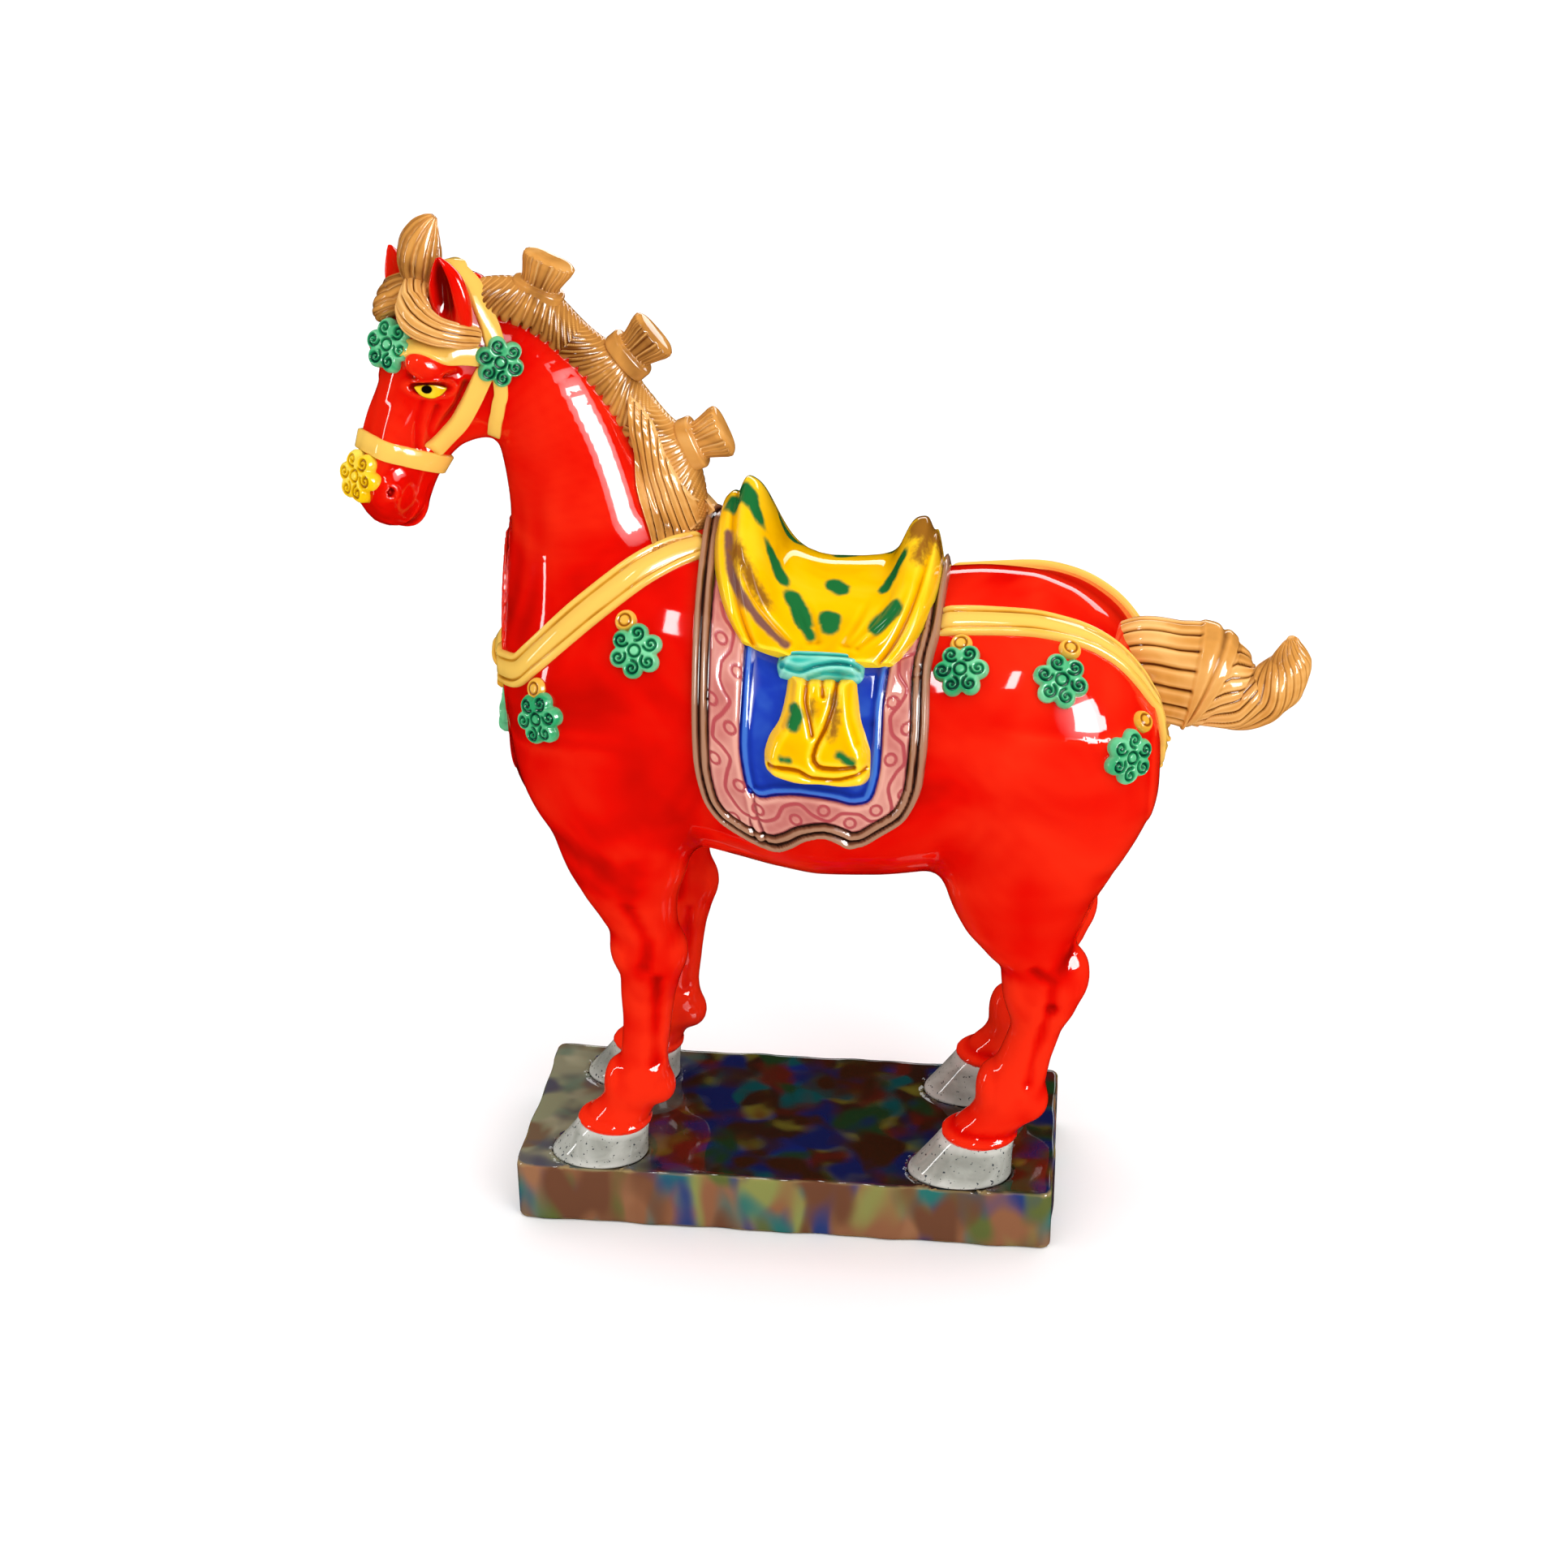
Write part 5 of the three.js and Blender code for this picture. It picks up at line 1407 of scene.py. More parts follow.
# Bridle straps run from the middle line to the near side, through places along, brow and cheek
bridle = {
    "half": 2.4, "lift": 1.15,
    "crown": [(-8.8, 3.8, 0), (-8, 3, 3.5), (-6.4, 1, 7.4), (-2.6, -1.8, 10.8), (4.1, -6.4, 12.9),
              (9, -9.6, 14.4)],
    "brow": [(15.2, 11.5, 0), (14.8, 10.8, 3.2), (14.3, 9.4, 6.2), (13.4, 6.6, 9.5), (12.3, 2.2, 12),
             (10.6, -3.1, 13), (9.6, -8, 13.8)],
    "cheek": [(11.5, -8.4, 13.8), (15, -7.8, 13), (20, -7.8, 11.8), (25.5, -7.8, 10.6), (31.2, -7, 9),
              (37, -4.6, 8.3)],
    "throat": [(11, -10, 15), (14.4, -12.6, 14.8), (17.4, -16, 13.4), (19.4, -19, 11.4), (21, -22, 8.4)],
    "throatHalf": 1.7, "throatLift": 0.9,
    "nose": {"along": 38.6, "sway": 0.7},
}

strapSection = sectionObject("strapSection", harness["half"], harness["lift"], harness["grooves"])
bridleSection = sectionObject("bridleSection", bridle["half"], bridle["lift"], [])
narrowSection = sectionObject("throatSection", bridle["throatHalf"], bridle["throatLift"], [])


def linePoints(form, path, count):
    line = smoothPath(flat(path), count)
    return form(line[:, 0], line[:, 1] / barrel["perDegree"])


def acrossHead(path):
    return [(u, v, -w) for u, v, w in reversed(path[1:])] + path


makeStrap("collarStrap", linePoints(barrelPoint, mirroredPath(harness["collar"], 90), 260), strapSection)
breechingPath = mirroredPath(harness["breeching"], -90, harness["farDrop"])
makeStrap("breechingStrap", linePoints(barrelPoint, breechingPath, 280), strapSection)
around = np.linspace(0, 360, 90, endpoint=False)
noseLine = skullPoint(bridle["nose"]["along"] + bridle["nose"]["sway"] * np.sin(np.radians(around)), around)
makeStrap("noseBand", noseLine, bridleSection, closed=True)
makeStrap("crownBand", onHead(smoothPath(acrossHead(bridle["crown"]), 90)), bridleSection, rounds=3)
makeStrap("browBand", onHead(smoothPath(acrossHead(bridle["brow"]), 70)), bridleSection, rounds=3)
for side, where in bothSides:
    line = onHead(smoothPath(bridle["cheek"], 50) * [1, 1, side])
    makeStrap(where + "CheekBand", line, bridleSection, rounds=3)
    line = onHead(smoothPath(bridle["throat"], 40) * [1, 1, side])
    makeStrap(where + "ThroatBand", line, narrowSection, rounds=3)
print("straps laid")


# Rosettes and buttons: one of each is carved, then set wherever the straps carry them

rosette = {
    "radius": 6.3, "lobes": 6, "lobeAt": 3.95, "lobeRadius": 2.25, "lift": 2.1, "hub": 1.3,
    "curl": (1.72, 0.3), "turns": 1.3, "cut": 0.9, "cutWide": 0.34, "barrelShare": 1.1,
    "rings": 34, "spokes": 150,
}


def makeRosette(size):
    lobes = [(size["lobeAt"] * np.array([math.sin(a), math.cos(a)]), a)
             for a in (math.pi / 6 + k * math.pi / 3 for k in range(size["lobes"]))]
    angles = np.linspace(0, 2 * math.pi, size["spokes"], endpoint=False)
    ways = np.column_stack([np.sin(angles), np.cos(angles)])
    reach = np.full(len(angles), 3.0)
    for centre, _ in lobes:
        along = ways @ centre
        inner = size["lobeRadius"] ** 2 - (centre @ centre - along ** 2)
        far = along + np.sqrt(np.maximum(inner, 0))
        reach = np.maximum(reach, np.where((inner > 0) & (along > 0), far, 0))
    for _ in range(2):
        reach = 0.5 * reach + 0.25 * (np.roll(reach, 1) + np.roll(reach, -1))
    shares = np.concatenate([np.linspace(0.02, 0.93, size["rings"]), [0.965, 0.99, 1.0, 1.0]])
    spots = (shares[:, None, None] * reach[:, None]) * ways
    flatSpots = spots.reshape(-1, 2)
    edge = ((1 - shares) * size["radius"])[:, None] * np.ones(len(angles))
    height = size["lift"] * np.sqrt(ease(edge, -0.25, 1.1)).ravel()
    cut = np.zeros(len(flatSpots))
    for centre, way in lobes:
        left = -1 if math.sin(way) < 0 else 1
        sweep = np.linspace(0, 1, 46)
        radius = size["curl"][0] + (size["curl"][1] - size["curl"][0]) * sweep ** 0.8
        start = way + left * math.radians(185)
        spin = start - left * sweep * size["turns"] * 2 * math.pi
        path = centre + radius[:, None] * np.column_stack([np.sin(spin), np.cos(spin)])
        cut = np.maximum(cut, np.exp(-((pathDistance(flatSpots, path) / size["cutWide"]) ** 2)))
    middle = np.linalg.norm(flatSpots, axis=1)
    cut = np.maximum(cut, hump(middle, size["hub"], 0.3))
    height = height - size["cut"] * cut * ease(edge.ravel(), 0.2, 0.9)
    height[-len(angles):] = -1.8
    rings = np.column_stack([flatSpots, height]).reshape(len(shares), len(angles), 3)
    pool = (cut * 1.1 - 0.3).reshape(rings.shape[:2])
    return loft("rosetteCarving", rings, {"hollow": np.clip(pool, -1, 1)})


button = {"radius": 2.75, "lift": 1.5, "ring": 1.45}


def makeButton(size):
    angles = np.linspace(0, 2 * math.pi, 40, endpoint=False)
    shares = np.concatenate([np.linspace(0.03, 0.9, 14), [0.95, 0.985, 1.0, 1.0]])
    radius = shares * size["radius"]
    height = size["lift"] * np.sqrt(ease(1 - shares, -0.05, 0.3)) - 0.45 * hump(radius, size["ring"], 0.28)
    height[-1] = -1.5
    rings = np.stack([np.column_stack([r * np.sin(angles), r * np.cos(angles), np.full(40, h)])
                      for r, h in zip(radius, height)])
    pool = np.repeat((1.1 * hump(radius, size["ring"], 0.3) - 0.2)[:, None], 40, axis=1)
    return loft("buttonCarving", rings, {"hollow": pool})


def setTree():
    tree, given = newTree("setCarvings", {"Carving": "Object", "Glaze": "Material"})
    turnBy = addNode(tree, "GeometryNodeInputNamedAttribute", {"data_type": "FLOAT_VECTOR", "Name": "turn"})
    shareBy = addNode(tree, "GeometryNodeInputNamedAttribute", {"data_type": "FLOAT", "Name": "share"})
    shape = addNode(tree, "GeometryNodeObjectInfo", links={"Object": given["Carving"]})
    spots = addNode(tree, "GeometryNodeMeshToPoints", links={"Mesh": given["Geometry"]})
    placed = addNode(tree, "GeometryNodeInstanceOnPoints",
                     links={"Points": spots.outputs["Points"], "Instance": shape.outputs["Geometry"],
                            "Rotation": turnBy.outputs["Attribute"], "Scale": shareBy.outputs["Attribute"]})
    real = addNode(tree, "GeometryNodeRealizeInstances", links={"Geometry": placed.outputs["Instances"]})
    glazed = addNode(tree, "GeometryNodeSetMaterial", links={"Geometry": real.outputs["Geometry"],
                                                             "Material": given["Glaze"]})
    addNode(tree, "NodeGroupOutput", links={"Geometry": glazed.outputs["Geometry"]})
    return tree


setSpread = setTree()


# Each place is a point, the way out, the way up, and a share of the full size
def setCarvings(name, carving, places, glaze):
    mesh = bpy.data.meshes.new(name)
    mesh.from_pydata([tuple(np.asarray(p) * mm) for p, *_ in places], [], [])
    turns, shares = [], []
    for _, out, up, share in places:
        z = Vector(out).normalized()
        x = Vector(up).cross(z).normalized()
        turns += list(Matrix((x, z.cross(x), z)).transposed().to_euler())
        shares.append(share)
    mesh.attributes.new("turn", "FLOAT_VECTOR", "POINT").data.foreach_set("vector", turns)
    mesh.attributes.new("share", "FLOAT", "POINT").data.foreach_set("value", shares)
    obj = placeMesh(name, mesh)
    runTree(obj, setSpread, {"Carving": carving, "Glaze": glaze})
    obj.data.shade_smooth()
    return keep(obj, "horse", glaze)


barrelSets = {
    "rosettes": [(-33, 31.2), (-56.6, 6), (45.7, 39.6), (69, 34.8), (83.6, 8.6)],
    "buttons": [(-36, 42.4), (-58, 18.8), (45.3, 50.2), (70.6, 47.2), (86.2, 21.6)],
    "chest": (-73, -3, 140),
    "chestButton": (-73, -2, 148.5),
    "chestFacing": (-0.98, -0.06, 0.12),
}
# Places on the head, the way each carving faces there, and its share of the full size
headSets = {
    "forehead": {"at": (15.3, 11.5, 0.6), "facing": (0.02, 0.94, 0.34), "share": 1.08},
    "nose": {"at": (47.6, 7, 0.4), "facing": (0.2, 0.97, 0.14), "share": 1.06},
    "nearCheek": {"at": (9.5, -9.6, 15.2), "facing": (0.04, 0.36, 0.93), "share": 1.0},
    "farCheek": {"at": (9.5, -9.6, -13.6), "facing": (0.04, 0.2, -0.97), "share": 1.0},
}

rosetteCarving = makeRosette(rosette)
buttonCarving = makeButton(button)


def settledPlace(point, up, share, sink=0.0):
    spot, out = settle(horseGap, np.array([point], float), 4)
    return spot[0] - out[0] * sink, out[0], up, share


upward = (0, 0, 1)
greens, buttons = [], []
for side in (1, -1):
    for (x, degrees), (bx, bDegrees) in zip(barrelSets["rosettes"], barrelSets["buttons"]):
        drop = harness["farDrop"] if side < 0 and x > 0 and degrees > 20 else 0
        place = barrelPoint(x, degrees - drop) * [1, side, 1]
        above = barrelPoint(bx, bDegrees - drop) * [1, side, 1]
        greens.append(settledPlace(place, above - place, rosette["barrelShare"]))
        buttons.append(settledPlace(above, above - place, 1.0))
for key, carvings, share in (("chest", greens, rosette["barrelShare"]), ("chestButton", buttons, 1.0)):
    point = settledPlace(barrelSets[key], upward, share, -0.4)[0]
    carvings.append((point, barrelSets["chestFacing"], upward, share))
for key, spot in headSets.items():
    point, _, up, share = settledPlace(onHead(spot["at"]), -headTurn[0], spot["share"], -0.5)
    made = (point, unit(np.array(spot["facing"]) @ headTurn), up, share)
    if key == "nose":
        nosePlace = [made]
    else:
        greens.append(made)
setCarvings("greenRosettes", rosetteCarving, greens, greenGlaze)
setCarvings("noseRosette", rosetteCarving, nosePlace, yellowGlaze)
setCarvings("ochreButtons", buttonCarving, buttons, ochreGlaze)
for spare in (rosetteCarving, buttonCarving, strapSection, bridleSection, narrowSection):
    bpy.data.objects.remove(spare)
print("rosettes and buttons set")


# Hair: the combed mane, its tied tufts, the forelock, the fringe and the tail

# Rings along rows of x, y, z, half across and half deep, lifted by the strands that shape gives
def ringsAlong(rows, count, columns, across, shape, power=2.0):
    stations = smoothPath(rows, count)
    centres = stations[:, :3]
    ahead = unit(np.gradient(centres, axis=0))
    t = np.linspace(0, 1, count)
    side = np.array([across(v) for v in t], float)
    side = unit(side - ahead * np.sum(side * ahead, axis=1, keepdims=True))
    deep = np.cross(ahead, side)
    angle = np.linspace(0, 2 * math.pi, columns, endpoint=False)
    bend = lambda v: np.sign(v) * np.abs(v) ** (2 / power)
    along = np.concatenate([[0], np.cumsum(np.linalg.norm(np.diff(centres, axis=0), axis=1))])
    lift = shape(along[:, None], t[:, None], angle[None, :])
    a = stations[:, 3:4] * bend(np.cos(angle)) + lift * np.cos(angle)
    b = stations[:, 4:5] * bend(np.sin(angle)) + lift * np.sin(angle)
    return centres[:, None] + a[..., None] * side[:, None] + b[..., None] * deep[:, None]


# Strands pressed into hair: deep narrow grooves between rounded ridges
def strands(phase, depth, sharp=0.2):
    part = np.abs((phase % 1) - 0.5) * 2
    return depth * (0.35 * np.sqrt(np.clip(1 - part ** 2, 0, 1)) - np.exp(-(((1 - part) / sharp) ** 2)))


nearward = lambda t: (0, -1, 0)

mane = {
    "rows": [
        (-77, -4.6, 248.4, 5, 4.8), (-70, -3.4, 249, 6.4, 5.2), (-62, -2.4, 247, 6.6, 5.4),
        (-57, -1.8, 243.6, 6.5, 5.4), (-52, -1.4, 238.6, 6.5, 5.4), (-46, -1, 232.2, 6.5, 5.6),
        (-40.5, -0.6, 225, 6.7, 5.8), (-34.8, -0.3, 216.4, 7.3, 6.4), (-30.4, 0, 208.4, 8, 7.2),
        (-27.8, 0, 200, 8.6, 7.8), (-27, 0, 188, 9, 8),
    ],
    "strand": 3.1, "depth": 0.95, "pull": 0.6,
    "count": 480, "columns": 96,
}
tufts = [
    {"at": (-59.4, -2.2, 250.6), "lean": 24},
    {"at": (-38, -0.6, 234.8), "lean": 50},
    {"at": (-23, 0, 212.6), "lean": 66},
]


# The strands fan in toward each tie, and flatten where they reach it and over the crest
def makeMane(size):
    crest = smoothPath(size["rows"], 200)[:, :3]
    along = np.concatenate([[0], np.cumsum(np.linalg.norm(np.diff(crest, axis=0), axis=1))])
    tied = [along[np.argmin(np.linalg.norm(crest - tuft["at"], axis=1))] for tuft in tufts]
    parts = [-10, (tied[0] + tied[1]) / 2, (tied[1] + tied[2]) / 2, 1000]

    def shape(s, t, angle):
        s, angle = np.broadcast_arrays(s, angle)
        high = np.clip((0.35 - np.sin(angle)) / 1.35, 0, 1)
        lift = np.zeros(s.shape)
        pull = size["pull"] * high
        flatter = (1 - 0.8 * pull) * (1 - 0.75 * ease(high, 0.62, 0.92))
        for k, tie in enumerate(tied):
            base = (s - pull * tie) / (1 - pull)
            mine = (s >= parts[k]) & (s < parts[k + 1])
            lift = np.where(mine, strands(base / size["strand"], size["depth"], 0.26) * flatter, lift)
            lift = lift + 1.6 * hump(s, tie, 5.2) * ease(high, 0.55, 1)
        return lift

    rings = ringsAlong(size["rows"], size["count"], size["columns"], nearward, shape)
    obj = loft("combedMane", rings)
    markHollows(obj, 5, 0.28)
    return keep(obj, "horse", amberGlaze)


# Height along a tuft, half fore and aft, and half across
tuftShape = {
    "rows": [(-7.5, 7.8, 5.6), (-4.6, 6.6, 4.7), (-2.2, 5.6, 4.2), (-1.9, 6.3, 5), (-1.3, 6.6, 5.3),
             (0.9, 6.6, 5.3), (1.6, 6.3, 5), (1.9, 5, 3.7), (2.6, 4.7, 3.5), (5.2, 5.5, 3.9), (7.2, 6.2, 4.3),
             (8.2, 6.3, 4.3), (8.9, 5.7, 3.8), (9.2, 4.6, 2.9), (9.3, 2.4, 1.5)],
    "strands": 18, "depth": 0.6, "columns": 144,
}


def makeTuft(place, index):
    lean = math.radians(place["lean"])
    out = np.array([math.sin(lean), 0, math.cos(lean)])
    fore = np.array([out[2], 0, -out[0]])
    rows = np.array(tuftShape["rows"], float)
    at = smoothRows([(k, *row) for k, row in enumerate(rows)])
    levels = at(np.linspace(0, len(rows) - 1, 110))
    angle = np.linspace(0, 2 * math.pi, tuftShape["columns"], endpoint=False)
    bend = lambda v: np.sign(v) * np.abs(v) ** (2 / 2.7)
    flare = ease(levels[:, 0], 1.8, 2.4) * (1 - ease(levels[:, 0], 8.2, 8.7))
    flare += 1 - ease(levels[:, 0], -2.6, -2.1)
    comb = strands(angle[None, :] * tuftShape["strands"] / (2 * math.pi), tuftShape["depth"], 0.24)
    comb = comb * flare[:, None]
    a = levels[:, 1:2] * bend(np.cos(angle)) + comb * np.cos(angle)
    b = levels[:, 2:3] * bend(np.sin(angle)) + comb * np.sin(angle)
    centre = np.array(place["at"], float) + levels[:, 0:1] * out
    rings = centre[:, None] + a[..., None] * fore + b[..., None] * np.array([0, 1, 0])
    obj = loft("tiedTuft%d" % (index + 1), rings)
    markHollows(obj, 5, 0.28)
    return keep(obj, "horse", amberGlaze)


makeMane(mane)
for index, tuft in enumerate(tufts):
    makeTuft(tuft, index)

maneGap = limbGap(mane["rows"], nearward, 26)
sideLock = {
    "front": [(-37.4, 226), (-37, 218.5), (-36.2, 213), (-35.6, 205.4), (-33.8, 198.5), (-31.6, 192.6),
              (-29.6, 187)],
    "ledge": [(-37, 226.4), (-33.9, 222.7), (-31.2, 218.7), (-29, 213.2), (-26, 207), (-22.6, 201.5),
              (-18, 196)],
    "lift": 1.6, "strand": 1.8, "depth": 0.75, "cells": ((130, 90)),
}


def makeSideLock(size, side, where):
    rows, columns = size["cells"]
    front, ledge = (smoothPath(size[k], rows) for k in ("front", "ledge"))
    s = np.linspace(0, 1, columns)
    spots = front[:, None] + s[None, :, None] * (ledge - front)[:, None]
    x, z = spots[..., 0].ravel(), spots[..., 1].ravel()
    wide = np.linalg.norm(ledge - front, axis=1)[:, None] * s
    y = np.zeros(len(x))
    for depth in np.arange(4, 40, 0.5):
        spot = np.column_stack([x, np.full(len(x), -depth), z])
        within = np.minimum(horseGap(spot), maneGap(spot)) < 0
        y = np.where(within, -depth, y)
    y = y.reshape(rows, columns)
    for _ in range(12):
        y[1:-1, 1:-1] = 0.25 * (y[:-2, 1:-1] + y[2:, 1:-1] + y[1:-1, :-2] + y[1:-1, 2:])
    edge = np.minimum(ease(s, -0.01, 0.05)[None, :], ease(np.linspace(0, 1, rows), -0.01, 0.05)[:, None])
    phase = wide / size["strand"] + 0.1 * np.sin(0.3 * z).reshape(y.shape)
    lift = size["lift"] * np.sqrt(edge) + strands(phase, size["depth"]) * edge
    grid = np.stack([spots[..., 0] - 0.2 * lift, (y - lift) * side, spots[..., 1] + 0.15 * lift], axis=-1)
    under = np.stack([spots[..., 0] + 0.5, (y + 2.5) * side, spots[..., 1]], axis=-1)
    obj = shell(where + "SideLock", grid, under)
    markHollows(obj, 5, 0.28)
    return keep(obj, "horse", amberGlaze)


# A closed skin between an upper net and the one under it
def shell(name, top, under, marks=None):
    rows, columns = top.shape[:2]
    count = rows * columns
    faces = netFaces(rows, columns, wrap=False)
    faces += [[v + count for v in f[::-1]] for f in netFaces(rows, columns, wrap=False)]
    rim = netRim(rows, columns)
    faces += [[rim[(k + 1) % len(rim)], rim[k], rim[k] + count, rim[(k + 1) % len(rim)] + count]
              for k in range(len(rim))]
    points = np.vstack([top.reshape(-1, 3), under.reshape(-1, 3)])
    if signedVolume(points - points.mean(axis=0), faces) < 0:
        faces = [f[::-1] for f in faces]
    full = {k: np.concatenate([v.ravel(), v.ravel()]) for k, v in (marks or {}).items()}
    return makeObject(name, points, faces, full)


for side, where in bothSides:
    makeSideLock(sideLock, side, where)

forelockBase = onHead([(0, 9, 0)])[0]
forelock = {
    "rows": [(0.3, 0, -5, 6, 5.5), (0.4, 0, -2.4, 4.4, 4.2), (0.5, 0, -1.6, 4.8, 4.5),
             (0.5, 0, -1.1, 5.4, 5.2), (0.6, 0, 0.9, 5.4, 5.2), (0.6, 0, 1.4, 4.8, 4.5),
             (0.7, 0, 1.8, 4, 3.8), (0.6, 0, 4, 4.5, 4.6), (0.7, 0, 7, 4.8, 5.2), (1.1, 0, 10.4, 4.2, 4.9),
             (2.2, 0.1, 13.4, 3, 3.9), (3.8, 0.2, 15.8, 1.6, 2.3), (5, 0.3, 17, 0.6, 0.8)],
    "strands": 10, "depth": 0.85,
}


def makeForelock(size):
    rows = [(*(np.array(row[:3]) + forelockBase), *row[3:]) for row in size["rows"]]

    def shape(s, t, angle):
        comb = strands(angle * size["strands"] / (2 * math.pi) + 0.25 * np.sin(5 * t), size["depth"], 0.24)
        above = ease(s, 6.6, 7.4) * (1 - 0.6 * ease(t, 0.85, 1)) + (1 - ease(s, 2.2, 3))
        return comb * above

    obj = loft("flameForelock", ringsAlong(rows, 150, 120, nearward, shape))
    markHollows(obj, 5, 0.28)
    return keep(obj, "horse", amberGlaze)


fringe = {
    "near": [(-1.4, 8.6, 0, 2.6, 3), (0.6, 10.6, 1.6, 3.4, 3.2), (3.6, 11.8, 3.8, 4.4, 3.2),
             (6.8, 11.2, 7.2, 4.2, 3), (7.9, 8, 10.8, 3.4, 2.6), (7.4, 4, 12.8, 2.9, 2.2),
             (6.6, 0.4, 13.4, 2.7, 1.9), (6, -2.2, 13.6, 2.3, 1.4), (5.8, -3, 13.2, 1.2, 0.8)],
    "strands": 11, "depth": 0.75,
}


def makeFringe(size, side, where):
    rows = []
    for u, v, w, wide, thick in size["near"]:
        rows.append((*onHead([(u, v, side * w)])[0], wide, thick))
    across = headTurn[0]

    def shape(s, t, angle):
        comb = strands(angle * size["strands"] / (2 * math.pi), size["depth"], 0.24)
        return comb * ease(t, 0, 0.06) * (1 - ease(t, 0.94, 1))

    obj = loft(where + "Fringe", ringsAlong(rows, 110, 110, lambda t: across, shape, 2.3))
    markHollows(obj, 5, 0.28)
    return keep(obj, "horse", amberGlaze)


makeForelock(forelock)
for side, where in bothSides:
    makeFringe(fringe, side, where)

tail = {
    "rows": [
        (84, 0, 156.4, 9, 11.6), (90, 0, 157, 10, 13), (97, 0, 156, 10.5, 13.2), (103, 0, 155.2, 11, 13.8),
        (108.5, 0, 152.8, 10.2, 11.6), (114, 0, 150, 9.2, 8.6), (119, 0, 150.6, 8.2, 7.1),
        (123.8, 0, 154.8, 7, 6.2), (126, 0, 160.4, 5, 4.9), (125.8, 0, 165.2, 2, 2),
        (125.4, 0, 166.6, 0.7, 0.7),
    ],
    "strands": 16, "depth": 0.65, "wrap": (18, 23.5), "twist": 0.11,
    "count": 330, "columns": 144,
}


def makeTail(size):
    def shape(s, t, angle):
        start, end = size["wrap"]
        tied = ease(s, start - 0.6, start + 0.4) * (1 - ease(s, end - 0.4, end + 0.6))
        twist = np.maximum(s - end, 0) * size["twist"]
        comb = strands((angle + twist) * size["strands"] / (2 * math.pi), size["depth"], 0.24)
        lobes = 0.5 * np.cos(4 * (angle + 1.6 * twist)) * ease(s, end, end + 6) * (1 - ease(t, 0.6, 0.95))
        bands = 0.7 * tied - 0.9 * tied * hump(s, (start + end) / 2, 0.5)
        return comb * (1 - tied) * (1 - 0.65 * ease(t, 0.45, 0.95)) + lobes + bands

    obj = loft("tiedTail", ringsAlong(size["rows"], size["count"], size["columns"], nearward, shape))
    markHollows(obj, 5, 0.3)
    return keep(obj, "horse", amberGlaze)


makeTail(tail)
print("hair combed")


# Eyes

eyeball = {
    "rise": 1.0, "sink": 0.35, "upper": 0.45, "lower": 1.35, "lid": 0.16,
    "pupil": 1.1, "pupilAt": (0.95, 0.25),
}


def makeEye(side, where):
    size = face["eye"]
    tilt = math.radians(size["tilt"])
    u, v = size["at"]
    start = onHead([(u, v, side * 9.5)])
    centre, out = settle(lambda p: skullGap(inHead(p)), start, 4)
    centre, out = centre[0], out[0]
    long = headTurn[1] * math.cos(tilt) + headTurn[0] * math.sin(tilt)
    long = unit(long - out * (long @ out))
    down = np.cross(out, long)
    down = down * np.sign(down @ headTurn[0])
    xi, eta = np.meshgrid(np.linspace(-1, 1, 61), np.linspace(-1, 1, 41), indexing="ij")
    opening = size["half"][1] * (1 - xi ** 2) ** 0.7
    a, b = size["half"][0] * xi, opening * eta * np.where(eta > 0, eyeball["lower"], eyeball["upper"])
    lift = eyeball["rise"] * np.sqrt(np.clip(1 - 0.75 * xi ** 2 - 0.4 * eta ** 2, 0, 1)) - eyeball["sink"]
    grid = centre + a[..., None] * long + b[..., None] * down + lift[..., None] * out
    under = centre + 0.7 * a[..., None] * long + 0.7 * b[..., None] * down - 1.6 * out
    pupil = eyeball["pupil"] - np.hypot((a - eyeball["pupilAt"][0]) / 1.25, b - eyeball["pupilAt"][1])
    lid = eyeball["lid"] - opening * (1 - np.abs(eta))
    obj = shell(where + "Eye", grid, under, {"pupil": pupil, "lid": lid})
    return keep(obj, "horse", eyeGlaze)


for side, where in bothSides:
    makeEye(side, where)
print("eyes set")


# Floor and light: the glaze mirrors neither the floor nor the sky, which would make it look milky
stage = {"reach": 12000, "floor": "#f4f4f4", "skyLow": 0.7, "skyHigh": 1.9}


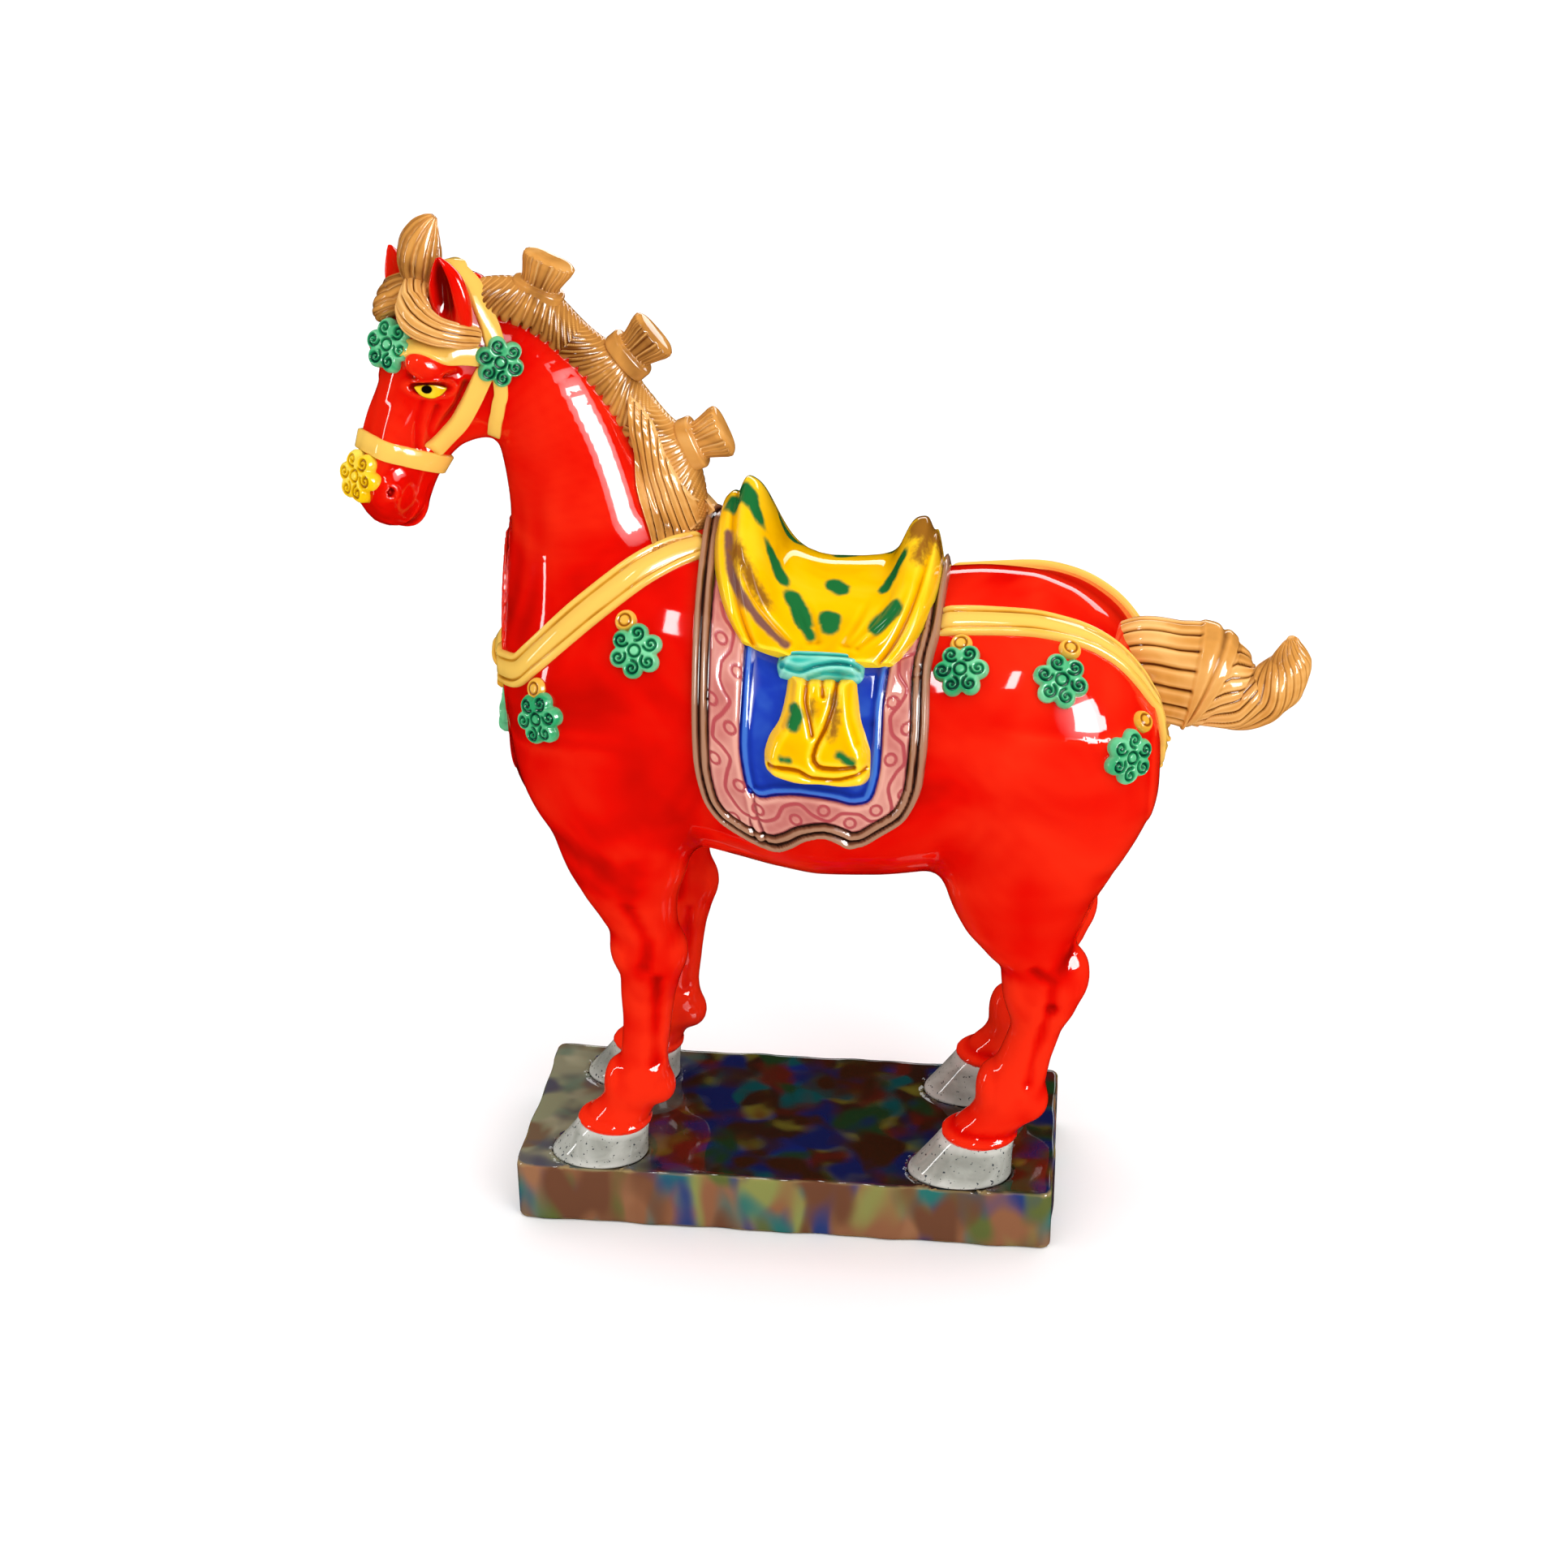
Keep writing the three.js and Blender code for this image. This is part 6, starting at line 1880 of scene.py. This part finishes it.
def makeStage(size):
    reach = size["reach"]
    corners = [(-reach, -reach, 0), (reach, -reach, 0), (reach, reach, 0), (-reach, reach, 0)]
    floor = makeObject("floor", corners, [(0, 1, 2, 3)])
    material = bpy.data.materials.new("paleFloor")
    material.use_nodes = True
    shader = material.node_tree.nodes["Principled BSDF"]
    shader.inputs["Base Color"].default_value = toLinear(size["floor"])
    shader.inputs["Roughness"].default_value = 0.9
    floor.data.materials.append(material)
    floor.visible_glossy = False
    world = bpy.data.worlds.new("studio")
    world.use_nodes = True
    tree = world.node_tree
    way = addNode(tree, "ShaderNodeTexCoord").outputs["Generated"]
    rise = addNode(tree, "ShaderNodeSeparateXYZ", links={"Vector": way}).outputs["Z"]
    above = addNode(tree, "ShaderNodeMath", {"operation": "MAXIMUM", 1: 0.0}, {0: rise}).outputs[0]
    square = addNode(tree, "ShaderNodeMath", {"operation": "MULTIPLY"}, {0: above, 1: above}).outputs[0]
    glow = addNode(tree, "ShaderNodeMapRange",
                   {"From Min": 0.0, "From Max": 1.0, "To Min": size["skyLow"], "To Max": size["skyHigh"]},
                   {"Value": square}).outputs["Result"]
    tree.links.new(glow, tree.nodes["Background"].inputs["Strength"])
    tree.nodes["Background"].inputs["Color"].default_value = (1, 1, 1, 1)
    world.cycles_visibility.glossy = False
    scene.world = world


# Soft boxes: one lights the clay, and the rest only shine in the glaze
lamps = [
    {"name": "keyBox", "place": (560, -620, 620), "aim": (0, 0, 140), "size": (500, 500), "glow": 3.0},
    {"name": "rightShine", "place": (628, -573, 431), "aim": (-20, 0, 190), "size": (360, 420), "glow": 22},
    {"name": "neckShine", "place": (96, -132, 278), "aim": (-50, -15, 215), "size": (140, 180), "glow": 1.0,
     "spread": 64},
    {"name": "topShine", "place": (-118, -561, 896), "aim": (0, 0, 160), "size": (60, 240), "glow": 20},
    {"name": "backShine", "place": (133, 895, 400), "aim": (30, 0, 150), "size": (800, 150), "glow": 3.2},
    {"name": "leftShine", "place": (-819, -238, 303), "aim": (-50, 0, 170), "size": (70, 420), "glow": 14},
]


def makeLamps():
    for lamp in lamps:
        data = bpy.data.lights.new(lamp["name"], "AREA")
        data.shape = "RECTANGLE"
        data.size, data.size_y = (s * mm for s in lamp["size"])
        data.energy = lamp["glow"] * math.pi * data.size * data.size_y
        data.spread = math.radians(lamp.get("spread", 180))
        obj = bpy.data.objects.new(lamp["name"], data)
        place = Vector(lamp["place"]) * mm
        obj.location = place
        obj.rotation_euler = (Vector(lamp["aim"]) * mm - place).to_track_quat("-Z", "Y").to_euler()
        obj.visible_camera = False
        obj.visible_diffuse = lamp["name"] == "keyBox"
        obj.visible_glossy = lamp["name"] != "keyBox"
        scene.collection.objects.link(obj)


makeStage(stage)
makeLamps()
print("lit")
